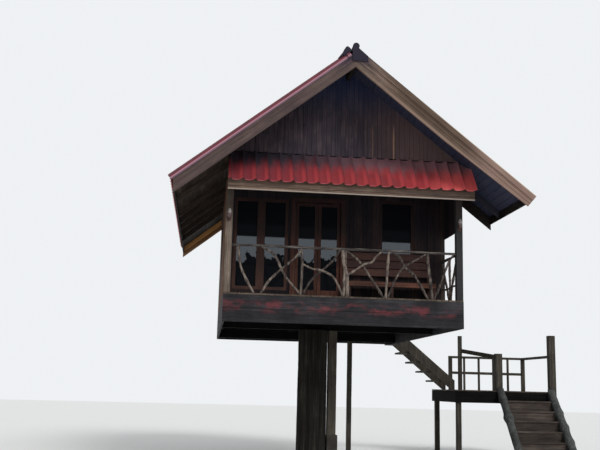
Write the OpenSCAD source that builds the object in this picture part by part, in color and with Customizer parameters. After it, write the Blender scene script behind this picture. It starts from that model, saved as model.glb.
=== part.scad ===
// Stilt house: a boarded timber cabin with a gable roof and a veranda, high on
// one thick trunk pier, reached by two flights of stairs round a landing.
// Origin on the ground under the middle of the trunk pier, front towards -Y.

/* [House] */
// Width of the house over its deck edge
floor_w = 4600; // [3800:10:5600]
// Depth of the house over its deck edge
floor_d = 6240; // [5200:10:7500]
// Height of the deck above the lowest ground
floor_z = 3300; // [2700:10:4000]
// Depth of the veranda in front of the room
veranda_d = 1270; // [1000:10:1600]
// Height of the side walls under their plates
wall_h = 2450; // [2300:10:2950]
// Thickness of the boarded walls
wall_t = 100; // [80:1:120]

/* [Floor frame] */
// Height of the boards round the deck edge
deck_edge_h = 540; // [530:1:700]
// Thickness of the boards round the deck edge
deck_edge_t = 40; // [25:1:50]
// Thickness of the deck boards
deck_t = 30; // [20:1:40]
// Depth of the joists
joist_h = 150; // [120:1:160]
// Width of the joists
joist_w = 60; // [40:1:80]
// Number of joists under the deck
joist_n = 11; // [7:1:15]
// Depth of the long bearers
bearer_h = 150; // [120:1:160]
// Depth of the cross beams on the pier
cross_h = 180; // [140:1:190]
// Width of bearers and cross beams
beam_w = 120; // [90:1:160]

/* [Supports] */
// Diameter of the trunk pier
pier_d = 620; // [450:10:750]
// Pier middle from the left edge of the deck
pier_x = 1980; // [1600:10:2200]
// Pier middle from the front edge of the deck
pier_y = 2200; // [1800:10:2600]
// Number of flutes round the trunk pier
flute_n = 14; // [8:1:20]
// Depth of the flutes
flute_depth = 22; // [8:1:35]
// Side of the square post beside the pier
side_post_w = 180; // [120:1:240]
// Height of the side post's footing block
footing_h = 640; // [300:10:800]
// How far the footing block stands out past its post
footing_out = 35; // [20:1:60]
// Side of the thin rear post
rear_post_w = 115; // [90:1:160]
// Rear post from the left edge of the deck
rear_post_x = 3390; // [2600:10:3600]

/* [Roof] */
// Slope of both roof sides in degrees
roof_pitch = 38.3; // [30:0.1:44]
// Overhang of the eaves past the side walls
eave_out = 990; // [700:10:1200]
// Overhang of the right eave behind the veranda
short_eave_out = 330; // [200:10:500]
// Overhang of the roof in front of the deck edge
front_out = 860; // [700:10:1000]
// Overhang of the roof behind the deck edge
rear_out = 740; // [500:10:900]
// Number of tile rolls along the main roof
roof_rolls = 33; // [25:1:40]
// Number of those rolls over the wide right eave
wide_rolls = 9; // [8:1:10]
// Height of a tile roll
roll_h = 50; // [30:1:70]
// Thickness of the tile sheet
tile_t = 14; // [8:1:20]
// Thickness of the roof boarding
roof_board_t = 20; // [15:1:30]
// Depth of the rafters
rafter_h = 100; // [80:1:140]
// Width of the rafters
rafter_w = 50; // [40:1:70]
// Depth of the plates on the side walls
plate_h = 150; // [120:1:180]
// Height of the bargeboards, measured upright
barge_h = 290; // [200:1:320]
// Thickness of the bargeboards
barge_t = 35; // [25:1:50]
// Height of the thin fillet along a bargeboard's top
fillet_h = 70; // [40:1:90]
// Height of the eave boards
eave_board_h = 150; // [120:1:200]
// Thickness of the eave boards
eave_board_t = 25; // [18:1:30]
// Radius of the roll along the ridge caps
ridge_r = 64; // [50:1:80]
// Width of the ridge caps' wings to each side
ridge_wing = 230; // [180:5:280]
// Height of the left verge caps above the bargeboard, square to the slope
verge_h = 100; // [96:1:130]
// Height of the right verge board above the bargeboard, measured upright
verge_board_h = 100; // [85:1:120]

/* [Pent roof] */
// Number of tile rolls on the pent roof
pent_rolls = 20; // [14:1:26]
// Width of the pent roof
pent_w = 4780; // [4000:10:5000]
// How far the pent roof runs out in front of the deck edge
pent_out = 450; // [350:10:550]
// Height of the pent roof's lower edge above the deck
pent_low_h = 2050; // [2030:10:2200]
// Height of the pent roof's top edge above the deck
pent_top_h = 2720; // [2700:10:2900]
// Height of the pent fascia board
pent_fascia_h = 230; // [150:1:260]
// Thickness of the pent fascia board
pent_fascia_t = 30; // [20:1:40]

/* [Veranda] */
// Side of the square corner posts
corner_w = 125; // [90:1:150]
// Height of the top rail's middle above the deck
rail_z = 915; // [800:5:1000]
// Diameter of the top rail pole
rail_d = 50; // [35:1:70]
// Diameter of a thick branch of the lattice
branch_d = 48; // [30:1:60]
// Height of the post lamps' foot above the deck
lamp_z = 1430; // [1300:10:1600]
// Diameter of a post lamp
lamp_d = 84; // [60:2:100]
// Height of a post lamp
lamp_h = 150; // [100:5:200]
// Length of the bench
bench_l = 1780; // [1200:10:2000]
// Height of the bench seat
bench_seat_z = 400; // [350:5:450]
// Height of the bench back
bench_back_z = 1040; // [800:5:1100]
// Depth of the bench from front to back
bench_d = 520; // [400:5:560]

/* [Doors and windows] */
// Left edge of the doorway from the left side
door_x = 1420; // [1400:5:1500]
// Width of the doorway between the walls
door_w = 1015; // [900:5:1060]
// Height of the doorway above the deck
door_h = 2100; // [1950:5:2150]
// Thickness of the door leaves
leaf_t = 42; // [36:1:50]
// Width of the stiles of doors and windows
stile_w = 65; // [50:1:80]
// Thickness of the doorway's lining
lining_t = 35; // [25:1:45]
// Gap round the door leaves
door_gap = 8; // [7:0.5:10]
// Radius of the hinge barrels
barrel_r = 9; // [8:0.5:12]
// Height of a hinge
hinge_h = 110; // [80:5:130]
// Left window opening: left side, width, sill and head
win_left = [190, 1115, 215, 2100];
// Width of the post between the left window's two panes
win_post_w = 165; // [60:5:200]
// Right window opening: left side, width, sill and head
win_right = [3205, 740, 1000, 2180];
// Side window openings: start from the front, width, sill and head
win_side = [3300, 900, 1000, 2000];
// Rear window opening: left side, width, sill and head
win_rear = [1100, 900, 1000, 2000];
// Rear doorway: left side, width, sill and head
back_door = [3350, 800, 0, 2050];
// Thickness of the window glass
glass_t = 6; // [4:1:10]

/* [Stairs and landing] */
// Height of the landing above the ground
landing_z = 1640; // [1400:10:1900]
// Left edge of the landing from the left side of the house
landing_x = 5900; // [5800:10:6200]
// Width of the landing
landing_w = 2600; // [2300:10:2800]
// Front edge of the landing from the front of the deck
landing_y = 5000; // [4700:10:5200]
// Height of the landing's edge beams
landing_beam_h = 280; // [200:10:320]
// Side of the landing posts
landing_post_w = 120; // [90:1:150]
// Height of the landing rail above the landing
landing_rail_h = 850; // [750:10:950]
// Clear width of the upper flight between its stringers
upper_w = 800; // [650:10:850]
// Number of risers in the upper flight
upper_risers = 7; // [6:1:9]
// Depth of a step of the upper flight
upper_going = 285; // [240:5:300]
// Depth of the upper flight's stringers
stringer_h = 240; // [180:5:280]
// Width of the lower flight's treads
lower_w = 1170; // [900:10:1250]
// Left edge of the lower flight from the left side of the house
lower_x = 7120; // [7050:10:7200]
// Number of risers in the lower flight
lower_risers = 7; // [6:1:9]
// Depth of a step of the lower flight
lower_going = 205; // [180:5:250]
// Thickness of the treads
tread_t = 45; // [30:1:60]
// Diameter of the log stringers of the lower flight
log_d = 190; // [120:1:220]

/* [Hidden] */
$fn = 32;
deck = floor_z;
joist_z = deck - deck_t - joist_h;
bearer_z = joist_z - bearer_h;
cross_z = bearer_z - cross_h;
room_y0 = veranda_d;
room_y1 = floor_d - deck_edge_t;
plate_z = deck + wall_h;
ridge_x = floor_w / 2;
slope = tan(roof_pitch);
rafter_seat = 30;
rafter_v = rafter_h / cos(roof_pitch);
board_v = roof_board_t / cos(roof_pitch);
roof_y0 = -front_out;
roof_y1 = floor_d + rear_out;
roll_p = (roof_y1 - roof_y0) / roof_rolls;
wide_y1 = ceil(roof_y0 + wide_rolls * roll_p) + 1;
ridge_w = 60;
ridge_h = 200;
gable_t = 40;
post_y = 20;
gable_y = post_y + corner_w / 3;
back_y0 = floor_d + 10;
back_x0 = back_door[0] - 80;
upper_rise = (deck - landing_z) / upper_risers;
upper_y0 = back_y0 + 50;
upper_top_x = landing_x + 370 - upper_risers * upper_going;
stringer_t = 50;
landing_y1 = upper_y0 + upper_w + 2 * stringer_t;
lower_rise = landing_z / lower_risers;
side_post_x = pier_x + pier_d / 2 + 15;
pier_top = cross_z;
leaf_w = (door_w - 2 * lining_t - 3 * door_gap) / 2;

// Height of the rafters' underside, the boards' underside and the tiles' underside
function under_rafters(x) = plate_z + plate_h - rafter_seat + slope * (x < ridge_x ? x : floor_w - x);
function under_boards(x) = under_rafters(x) + rafter_v;
function under_tiles(x) = under_boards(x) + board_v;

module house() { translate([-pier_x, -pier_y, 0]) children(); }

// A box between two corners
module block(a, b) { translate(a) cube(b - a); }

// An outline in X and Z, run along Y from y0 to y1
module along_y(y0, y1, pts) {
    translate([0, y1, 0]) rotate([90, 0, 0]) linear_extrude(y1 - y0) polygon(pts);
}

// An outline in Y and Z, run along X from x0 to x1
module along_x(x0, x1, pts) {
    translate([x0, 0, 0]) rotate([90, 0, 90]) linear_extrude(x1 - x0) polygon(pts);
}

module mirror_on_ridge() { translate([2 * ridge_x, 0, 0]) mirror([1, 0, 0]) children(); }

// A straight piece of branch between two points, thinner at its far end
module limb(a, b, d1, d2) {
    hull() {
        translate(a) sphere(d = d1, $fn = 7);
        translate(b) sphere(d = d2, $fn = 7);
    }
}

// A crooked branch through a list of points
module branch(pts, d1, d2) {
    n = len(pts) - 1;
    for (i = [0 : n - 1])
        limb(pts[i], pts[i + 1], d1 + (d2 - d1) * i / n, d1 + (d2 - d1) * (i + 1) / n);
}

// Supports

// The trunk's outline, with shallow flutes all round
function flute_r(a) = pier_d / 2 - flute_depth * (1 - cos(a * flute_n)) / 2;

module trunk_pier() {
    steps = flute_n * 6;
    color("#2b2622") linear_extrude(pier_top)
        polygon([for (i = [0 : steps - 1]) let (a = 360 * i / steps) flute_r(a) * [cos(a), sin(a)]]);
}

module side_post() {
    color("#3a332d") house()
        block([side_post_x, pier_y - side_post_w / 2, footing_h],
              [side_post_x + side_post_w, pier_y + side_post_w / 2, pier_top]);
}

module side_post_footing() {
    color("#4b4843") house()
        block([side_post_x - 10, pier_y - side_post_w / 2 - footing_out, 0],
              [side_post_x + side_post_w + footing_out, pier_y + side_post_w / 2 + footing_out, footing_h]);
}

rear_beam_y = floor_d - 380;

module rear_post() {
    color("#3a332d") house()
        block([rear_post_x - rear_post_w / 2, rear_beam_y - rear_post_w / 2, 0],
              [rear_post_x + rear_post_w / 2, rear_beam_y + rear_post_w / 2, cross_z]);
}

// Floor

// Two cross beams on the pier and the rear post carry three long bearers
module floor_beams() {
    color("#3d332b") house() {
        for (y = [pier_y, rear_beam_y])
            block([deck_edge_t, y - beam_w / 2, cross_z],
                  [floor_w - deck_edge_t, y + beam_w / 2, bearer_z]);
        for (x = [deck_edge_t + beam_w / 2, ridge_x, floor_w - deck_edge_t - beam_w / 2])
            block([x - beam_w / 2, deck_edge_t, bearer_z],
                  [x + beam_w / 2, floor_d - deck_edge_t, joist_z]);
    }
}

module floor_joists() {
    gap = (floor_d - 2 * deck_edge_t - joist_w) / (joist_n - 1);
    color("#463a30") house()
        for (i = [0 : joist_n - 1])
            block([deck_edge_t, deck_edge_t + i * gap, joist_z],
                  [floor_w - deck_edge_t, deck_edge_t + i * gap + joist_w, deck - deck_t]);
}

module floor_boards() {
    color("#5a4a3c") house()
        block([0, 0, deck - deck_t], [floor_w, floor_d, deck]);
}

module deck_edge_front() {
    color("#4d4742") house()
        block([0, 0, deck - deck_edge_h], [floor_w, deck_edge_t, deck - deck_t]);
}

module deck_edge_sides() {
    color("#4d4742") house() {
        for (x = [0, floor_w - deck_edge_t])
            block([x, deck_edge_t, deck - deck_edge_h],
                  [x + deck_edge_t, floor_d - deck_edge_t, deck - deck_t]);
        block([0, floor_d - deck_edge_t, deck - deck_edge_h], [floor_w, floor_d, deck - deck_t]);
    }
}

// Veranda

// Corner posts, the head beam between the plates and the pent rafters on it
module veranda_frame() {
    color("#8c8177") house() {
        for (x = [0, floor_w - corner_w])
            block([x, post_y, deck], [x + corner_w, post_y + corner_w, plate_z]);
        block([wall_t, post_y, plate_z], [floor_w - wall_t, post_y + corner_w, plate_z + plate_h]);
        pent_rafters();
    }
}

rail_y = post_y + corner_w / 2;

// A point of the front lattice: share of the bay's width and of the rail's height
function bay(u, v, out = 0) = [corner_w + u * (floor_w - 2 * corner_w), rail_y + out, deck + v * rail_z];

// The bay's top rail and its crooked branches, trimmed flat at the posts and the deck
module front_railing() {
    b = branch_d;
    color("#8f857b") house() intersection() {
        block([corner_w, post_y, deck], [floor_w - corner_w, post_y + corner_w, deck + rail_z + rail_d]);
        union() {
            limb(bay(-0.02, 1), bay(1.02, 1), rail_d, rail_d);
            // From the left post to the middle stems
            branch([bay(0.029, 0.98), bay(0.0425, 0.57), bay(0.069, 0.29), bay(0.107, -0.03)], b, b * 0.9);
            branch([bay(0.132, 0.98), bay(0.186, 0.83), bay(0.221, 0.53), bay(0.244, 0.345),
                bay(0.284, 0.13), bay(0.31, -0.03)], b * 0.8, b);
            branch([bay(0.13, -0.03), bay(0.163, 0.25), bay(0.19, 0.39), bay(0.23, 0.57, -8),
                bay(0.27, 0.74), bay(0.305, 0.92)], b, b * 0.8);
            branch([bay(0.3065, 0.98), bay(0.311, 0.53), bay(0.3065, -0.03)], b, b);
            branch([bay(0.309, 0.66), bay(0.356, 0.56), bay(0.396, 0.53, -8), bay(0.441, 0.434),
                bay(0.4675, 0.27), bay(0.494, -0.03)], b * 0.8, b);
            branch([bay(0.311, -0.03), bay(0.351, 0.31), bay(0.387, 0.484, 8), bay(0.423, 0.638),
                bay(0.45, 0.773), bay(0.478, 0.98)], b, b * 0.8);
            branch([bay(0.49, 0.98), bay(0.4945, 0.72), bay(0.508, 0.45), bay(0.513, -0.03)],
                b * 1.3, b * 1.5);
            branch([bay(0.503, 0.98), bay(0.5, 0.6), bay(0.495, -0.03)], b * 0.9, b * 1.1);
            // From the middle stems to the right post
            branch([bay(0.51, 0.45), bay(0.5525, 0.587), bay(0.588, 0.70, -8), bay(0.62, 0.753),
                bay(0.642, 0.885), bay(0.664, 0.98)], b, b * 0.8);
            branch([bay(0.503, 0.98), bay(0.5435, 0.84), bay(0.575, 0.69, 8), bay(0.611, 0.45),
                bay(0.6465, 0.2), bay(0.677, -0.03)], b * 0.8, b);
            branch([bay(0.696, 0.98), bay(0.691, 0.66), bay(0.682, -0.03)], b, b);
            branch([bay(0.691, -0.03), bay(0.714, 0.285), bay(0.7405, 0.527), bay(0.767, 0.68),
                bay(0.803, 0.79), bay(0.834, 0.876), bay(0.868, 0.98)], b, b * 0.7);
            branch([bay(0.714, 0.98), bay(0.745, 0.87), bay(0.767, 0.68, 8), bay(0.803, 0.54),
                bay(0.834, 0.33), bay(0.877, -0.03)], b * 1.1, b);
            branch([bay(0.87, 0.98), bay(0.875, 0.69), bay(0.884, 0.36), bay(0.8925, -0.03)],
                b * 1.2, b * 1.4);
            branch([bay(0.896, -0.03), bay(0.924, 0.27), bay(0.951, 0.62), bay(0.973, 0.86),
                bay(0.991, 0.98)], b, b * 0.8);
        }
    }
}

// A point of a side lattice: share of the veranda's depth and of the rail's height
function side_bay(x, u, v) = [x, side_y0 + u * (veranda_d - side_y0), deck + v * rail_z];
side_y0 = post_y + corner_w;

module side_railings() {
    b = branch_d;
    color("#857a70") house() intersection() {
        block([0, side_y0, deck], [floor_w, veranda_d, deck + rail_z + rail_d]);
        for (x = [corner_w / 2, floor_w - corner_w / 2]) {
            limb(side_bay(x, -0.05, 1), side_bay(x, 1.05, 1), rail_d, rail_d);
            branch([side_bay(x, 0.03, 0.97), side_bay(x, 0.3, 0.5), side_bay(x, 0.5, -0.03)], b, b * 0.9);
            branch([side_bay(x, 0.5, -0.03), side_bay(x, 0.75, 0.5), side_bay(x, 0.97, 0.97)], b, b * 0.9);
            branch([side_bay(x, -0.05, 0.33), side_bay(x, 1.05, 0.38)], b * 0.9, b * 0.7);
            branch([side_bay(x, 0.5, -0.03), side_bay(x, 0.5, 0.98)], b, b);
        }
    }
}

module bench() {
    x0 = door_x + door_w + 40;
    y1 = veranda_d - 20;
    leg = 60;
    slat = 70;
    slats = 5;
    back = 150;
    color("#6e3b28") house() {
        for (x = [x0, x0 + (bench_l - leg) / 2, x0 + bench_l - leg]) {
            block([x, y1 - leg, deck], [x + leg, y1, deck + bench_back_z]);
            block([x, y1 - bench_d, deck], [x + leg, y1 - bench_d + leg, deck + bench_seat_z - 25]);
            block([x, y1 - bench_d, deck + bench_seat_z - 95], [x + leg, y1, deck + bench_seat_z - 25]);
        }
        for (i = [0 : slats - 1])
            block([x0, y1 - bench_d + i * (bench_d - leg) / slats, deck + bench_seat_z - 25],
                  [x0 + bench_l, y1 - bench_d + i * (bench_d - leg) / slats + slat, deck + bench_seat_z]);
        // Three wide boards up the back and an apron under the front of the seat
        for (i = [0 : 2])
            block([x0, y1 - leg - 22, deck + bench_back_z - (i + 1) * back - i * 12],
                  [x0 + bench_l, y1 - leg, deck + bench_back_z - i * (back + 12)]);
        block([x0, y1 - bench_d - 20, deck + bench_seat_z - 105],
              [x0 + bench_l, y1 - bench_d, deck + bench_seat_z - 5]);
    }
}

module veranda_side_boards() {
    color("#3b3431") house()
        block([floor_w - 25, side_y0, deck + 1400], [floor_w, veranda_d, plate_z]);
}

// A jar-shaped lamp on the front of each corner post, with its plate
module post_lamps() {
    r = lamp_d / 2;
    h = lamp_h;
    color("#c9c6c0") house()
        for (x = [corner_w / 2, floor_w - corner_w / 2]) {
            translate([x, post_y - 20 - r, deck + lamp_z]) rotate_extrude($fn = 32)
                polygon([[0, -20], [r * 0.55, -20], [r * 0.6, 0], [r * 0.95, h * 0.12], [r, h * 0.35],
                    [r * 0.9, h * 0.75], [r * 0.5, h * 0.9], [r * 0.5, h], [0, h]]);
            block([x - 12, post_y - 20 - r, deck + lamp_z - 18], [x + 12, post_y - 12, deck + lamp_z]);
            block([x - 32, post_y - 12, deck + lamp_z - 70], [x + 32, post_y, deck + lamp_z + 30]);
        }
}

// Walls

// A wall panel in the XZ plane with one opening [x, width, sill, head] above the deck
module wall_x(y, x0, x1, opening) {
    difference() {
        block([x0, y, deck], [x1, y + wall_t, plate_z]);
        block([opening[0], y - 1, deck + opening[2]],
              [opening[0] + opening[1], y + wall_t + 1, deck + opening[3]]);
    }
}

// A gable over the plates, between the side walls, with its slot for the ridge beam
module gable(y, t, z0) {
    function top(x) = [x, under_boards(x) - seat_gap];
    difference() {
        along_y(y, y + t, [[wall_t, z0], [floor_w - wall_t, z0], top(floor_w - wall_t), top(ridge_x),
            top(wall_t)]);
        block([ridge_x - ridge_w / 2, y - 1, under_boards(ridge_x) - ridge_h],
              [ridge_x + ridge_w / 2, y + t + 1, under_boards(ridge_x) + 1]);
    }
}

module front_wall_left() {
    color("#57392d") house() wall_x(room_y0, wall_t, door_x, win_left);
}

module front_wall_right() {
    color("#57392d") house() wall_x(room_y0, door_x + door_w, floor_w - wall_t, win_right);
}

// The piece over the doorway carries on into the gable
module front_wall_over_door() {
    color("#57392d") house() {
        block([door_x, room_y0, deck + door_h], [door_x + door_w, room_y0 + wall_t, plate_z]);
        gable(room_y0, wall_t, plate_z);
    }
}

module side_wall(x) {
    difference() {
        block([x, room_y0, deck], [x + wall_t, room_y1, plate_z]);
        block([x - 1, win_side[0], deck + win_side[2]],
              [x + wall_t + 1, win_side[0] + win_side[1], deck + win_side[3]]);
    }
}

module left_wall() { color("#57392d") house() side_wall(0); }

module right_wall() { color("#57392d") house() side_wall(floor_w - wall_t); }

module rear_wall_left() {
    color("#57392d") house() wall_x(room_y1 - wall_t, wall_t, back_door[0], win_rear);
}

module rear_wall_right() {
    color("#57392d") house()
        block([back_door[0] + back_door[1], room_y1 - wall_t, deck],
              [floor_w - wall_t, room_y1, plate_z]);
}

module rear_wall_over_door() {
    color("#57392d") house() {
        block([back_door[0], room_y1 - wall_t, deck + back_door[3]],
              [back_door[0] + back_door[1], room_y1, plate_z]);
        gable(room_y1 - wall_t, wall_t, plate_z);
    }
}

// Doors and windows

// The leaves hang flush with the room side of the wall and open into the room
door_y = room_y0 + wall_t - leaf_t;
leaf_z0 = deck + door_gap;
leaf_z1 = deck + door_h - lining_t - door_gap;
bottom_rail_h = 240;
leaf_x = door_x + lining_t + door_gap;

// The left leaf's pin line, and the heights of its three hinges
hinge_x = leaf_x - door_gap / 2;
hinge_y = room_y0 + wall_t + barrel_r + 1;
hinge_zs = [leaf_z0 + 180, (leaf_z0 + leaf_z1 - hinge_h) / 2, leaf_z1 - 180 - hinge_h];
hinge_plate_t = 4;
knuckle_gap = 0.3;

module mirror_on_door() {
    translate([2 * door_x + door_w, 0, 0]) mirror([1, 0, 0]) children();
}

// Half of each hinge: a barrel on the pin line and a plate to the side, from z up by h
module hinge_half(z, h, side) {
    translate([hinge_x, hinge_y, z]) cylinder(r = barrel_r, h = h, $fn = 24);
    block([side > 0 ? hinge_x - 3 : hinge_x - 30, room_y0 + wall_t, z],
          [side > 0 ? hinge_x + 45 : hinge_x + 3, room_y0 + wall_t + hinge_plate_t, z + h]);
}

// Lining on three sides of the doorway, with a thin casing on the veranda side
module door_frame() {
    color("#7a4030") house() {
        difference() {
            union() {
                block([door_x, room_y0, deck], [door_x + door_w, room_y0 + wall_t, deck + door_h]);
                block([door_x - 60, room_y0 - 15, deck],
                      [door_x + door_w + 60, room_y0, deck + door_h + 60]);
            }
            block([door_x + lining_t, room_y0 - 16, deck - 1],
                  [door_x + door_w - lining_t, room_y0 + wall_t + 1, deck + door_h - lining_t]);
        }
        for (z = hinge_zs) {
            hinge_half(z, hinge_h / 2, -1);
            mirror_on_door() hinge_half(z, hinge_h / 2, -1);
        }
    }
}

// The left leaf, open between its stiles and rails, with the upper half of each hinge
module leaf() {
    difference() {
        block([leaf_x, door_y, leaf_z0], [leaf_x + leaf_w, door_y + leaf_t, leaf_z1]);
        block([leaf_x + stile_w, door_y - 1, leaf_z0 + bottom_rail_h],
              [leaf_x + leaf_w - stile_w, door_y + leaf_t + 1, leaf_z1 - stile_w]);
    }
    for (z = hinge_zs) hinge_half(z + hinge_h / 2 + knuckle_gap, hinge_h / 2 - knuckle_gap, 1);
}

module leaf_glass() {
    block([leaf_x + stile_w, door_y + (leaf_t - glass_t) / 2, leaf_z0 + bottom_rail_h],
          [leaf_x + leaf_w - stile_w, door_y + (leaf_t + glass_t) / 2, leaf_z1 - stile_w]);
}

module door_leaf_left() { color("#7a4030") house() leaf(); }

module door_leaf_right() { color("#7a4030") house() mirror_on_door() leaf(); }

module door_glass_left() { color("#28343a") house() leaf_glass(); }

module door_glass_right() { color("#28343a") house() mirror_on_door() leaf_glass(); }

// A window frame that fills an opening [x, width, sill, head] in a wall along X, its panes
// parted by posts of width mid
module frame_x(y, opening, bars, mid = stile_w) {
    pane = (opening[1] - 2 * stile_w - mid * (bars - 1)) / bars;
    difference() {
        block([opening[0], y, deck + opening[2]],
              [opening[0] + opening[1], y + 70, deck + opening[3]]);
        for (i = [0 : bars - 1]) {
            x = opening[0] + stile_w + i * (pane + mid);
            block([x, y - 1, deck + opening[2] + stile_w], [x + pane, y + 71, deck + opening[3] - stile_w]);
        }
    }
}

module panes_x(y, opening, bars, mid = stile_w) {
    pane = (opening[1] - 2 * stile_w - mid * (bars - 1)) / bars;
    for (i = [0 : bars - 1]) {
        x = opening[0] + stile_w + i * (pane + mid);
        block([x, y + 32, deck + opening[2] + stile_w],
              [x + pane, y + 32 + glass_t, deck + opening[3] - stile_w]);
    }
}

// The same shapes turned into a side wall that starts at x
module turned(x) { translate([x + wall_t, 0, 0]) rotate([0, 0, 90]) children(); }

module window_frames() {
    color("#7a4030") house() {
        frame_x(room_y0 + 15, win_left, 2, win_post_w);
        frame_x(room_y0 + 15, win_right, 1);
        frame_x(room_y1 - wall_t + 15, win_rear, 2);
        for (x = [0, floor_w - wall_t]) turned(x) frame_x(15, win_side, 2);
    }
}

module window_glass() {
    color("#28343a") house() {
        panes_x(room_y0 + 15, win_left, 2, win_post_w);
        panes_x(room_y0 + 15, win_right, 1);
        panes_x(room_y1 - wall_t + 15, win_rear, 2);
        for (x = [0, floor_w - wall_t]) turned(x) panes_x(15, win_side, 2);
    }
}

// Roof

module plates() {
    for (x = [0, floor_w - wall_t])
        block([x, post_y, plate_z], [x + wall_t, roof_y1 - barge_t, plate_z + plate_h]);
}

// Plates on the side walls and the ridge beam
module roof_beams() {
    color("#4a3d33") house() {
        plates();
        block([ridge_x - ridge_w / 2, roof_y0 + barge_t, under_boards(ridge_x) - ridge_h],
              [ridge_x + ridge_w / 2, roof_y1 - barge_t, under_boards(ridge_x - ridge_w / 2)]);
    }
}

// One rafter on the left side, from the eave overhang up to the ridge beam
module rafter(y, out) {
    x1 = ridge_x - ridge_w / 2;
    x0 = -out + eave_board_t;
    along_y(y, y + rafter_w, [[x0, under_rafters(x0)], [x1, under_rafters(x1)],
        [x1, under_boards(x1) - seat_gap], [x0, under_boards(x0) - seat_gap]]);
}

// Rafters stand in each bay between the gables and by the bargeboards
room_rafters = 5;
room_gap = (room_y1 - room_y0 - 2 * wall_t) / (room_rafters + 1);
front_rafters = [roof_y0 + barge_t, (gable_y + gable_t + room_y0 - rafter_w) / 2];
back_rafters = [for (i = [1 : room_rafters]) room_y0 + wall_t + i * room_gap - rafter_w / 2,
    roof_y1 - barge_t - rafter_w];

module rafters() {
    color("#463a30") house() difference() {
        union() {
            for (y = concat(front_rafters, back_rafters)) rafter(y, eave_out);
            mirror_on_ridge() {
                for (y = front_rafters) rafter(y, eave_out);
                for (y = back_rafters) rafter(y, short_eave_out);
            }
        }
        plates();
    }
}

// Boarding on the left side between y0 and y1, from its eave to the ridge
module boards(y0, y1, out) {
    along_y(y0, y1, [[-out, under_boards(-out)], [ridge_x, under_boards(ridge_x)],
        [ridge_x, under_tiles(ridge_x)], [-out, under_tiles(-out)]]);
}

module roof_boards() {
    color("#5b4433") house() {
        boards(roof_y0 + barge_t, roof_y1 - barge_t, eave_out);
        mirror_on_ridge() {
            boards(roof_y0 + barge_t, wide_y1 - barge_t, eave_out);
            boards(wide_y1 - barge_t, roof_y1 - barge_t, short_eave_out);
        }
    }
}

// Upper face of a run of roman tiles: a narrow flat pan, then a wide round roll
pan = 0.18;
roll_steps = 6;
function roll_up(s) = s <= pan ? 0 : roll_h * sin(180 * (s - pan) / (1 - pan));
function roll_line(n, p) = concat([[0, 0]], [for (i = [0 : n - 1], k = [0 : roll_steps])
    let (s = pan + (1 - pan) * k / roll_steps) [(i + s) * p, roll_up(s)]]);
function reversed(v) = [for (i = [len(v) - 1 : -1 : 0]) v[i]];

// The cut end of a tile sheet with n rolls, lifted by its thickness
module roll_outline(n, p) {
    line = roll_line(n, p);
    polygon(concat(line, reversed([for (q = line) q + [0, tile_t]])));
}

// Tiles on the left side over n rolls from y0, hung past the eave by the drip and
// lying a hair above the boarding
drip = 40;
seat_gap = 0.4;

module tiles(y0, n, out) {
    run = (ridge_x + out + drip) / cos(roof_pitch) - 20;
    translate([-out - drip, y0, under_tiles(-out - drip) + seat_gap]) rotate([0, -roof_pitch, 0])
        rotate([90, 0, 90]) linear_extrude(run) roll_outline(n, roll_p);
}

module roof_tiles_left() { color("#a8433a") house() tiles(roof_y0, roof_rolls, eave_out); }

module roof_tiles_right() {
    color("#a8433a") house() mirror_on_ridge() {
        tiles(roof_y0, wide_rolls, eave_out);
        tiles(wide_y1, roof_rolls - wide_rolls, short_eave_out);
    }
}

cap_t = 16;
fillet_out = 15;

// How far verge caps, ridge caps and verge board come forward of the bargeboards
verge_out = fillet_out + seat_gap + cap_t;

// Two wings that rest on the tops of the rolls, with a hollow roll along the middle and a
// plate that hangs over the point of the front bargeboards
module ridge_caps() {
    peak = under_tiles(ridge_x);
    z = peak + (roll_h + tile_t) / cos(roof_pitch) + 2 * seat_gap;
    v = cap_t / cos(roof_pitch);
    fall = ridge_wing * slope;
    rise = v + 15;
    color("#8f3a33") house() {
        translate([ridge_x, roof_y1, z]) rotate([90, 0, 0])
            linear_extrude(roof_y1 - roof_y0 + verge_out) difference() {
                union() {
                    polygon([[-ridge_wing, -fall], [0, 0], [ridge_wing, -fall], [ridge_wing, v - fall],
                        [0, v], [-ridge_wing, v - fall]]);
                    translate([0, rise]) circle(ridge_r);
                }
                translate([0, rise]) circle(ridge_r - cap_t);
                polygon([[-ridge_wing, -fall], [0, 0], [ridge_wing, -fall], [0, -2 * ridge_wing]]);
            }
        along_y(roof_y0 - verge_out, roof_y0 - verge_out + cap_t, [
            [ridge_x - plate_w, peak - plate_drop], [ridge_x + plate_w, peak - plate_drop],
            [ridge_x + ridge_wing, z - fall - 30], [ridge_x + ridge_wing, z - fall + v],
            [ridge_x, z + v], [ridge_x - plate_w, z + v - plate_w * slope]]);
    }
}

// Half the width of that plate's foot, and how far it hangs down
plate_w = 70;
plate_drop = 170;

// Across the verge: a leg down the bargeboard's face, then an arch that ends on the first roll
module verge_outline(grow = 0) {
    back = roll_p * (1 + pan) / 2;
    r = (verge_out + back) / 2;
    difference() {
        union() {
            translate([back - r, verge_h - r]) circle(r + grow);
            translate([-verge_out - grow, -20]) square([r, verge_h - r + 20]);
        }
        translate([back - r, verge_h - r]) circle(r - cap_t);
        translate([-2 * r, -2 * r - 20]) square([4 * r, 2 * r]);
        translate([cap_t - verge_out, -2 * r]) square([2 * r, verge_h + r]);
        translate([0, -2 * r]) square([2 * r, 2 * r + on_roll]);
    }
}

// Height of the caps over the boarding, square to the slope, where they rest on a roll
on_roll = roll_h + tile_t + seat_gap;

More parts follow.
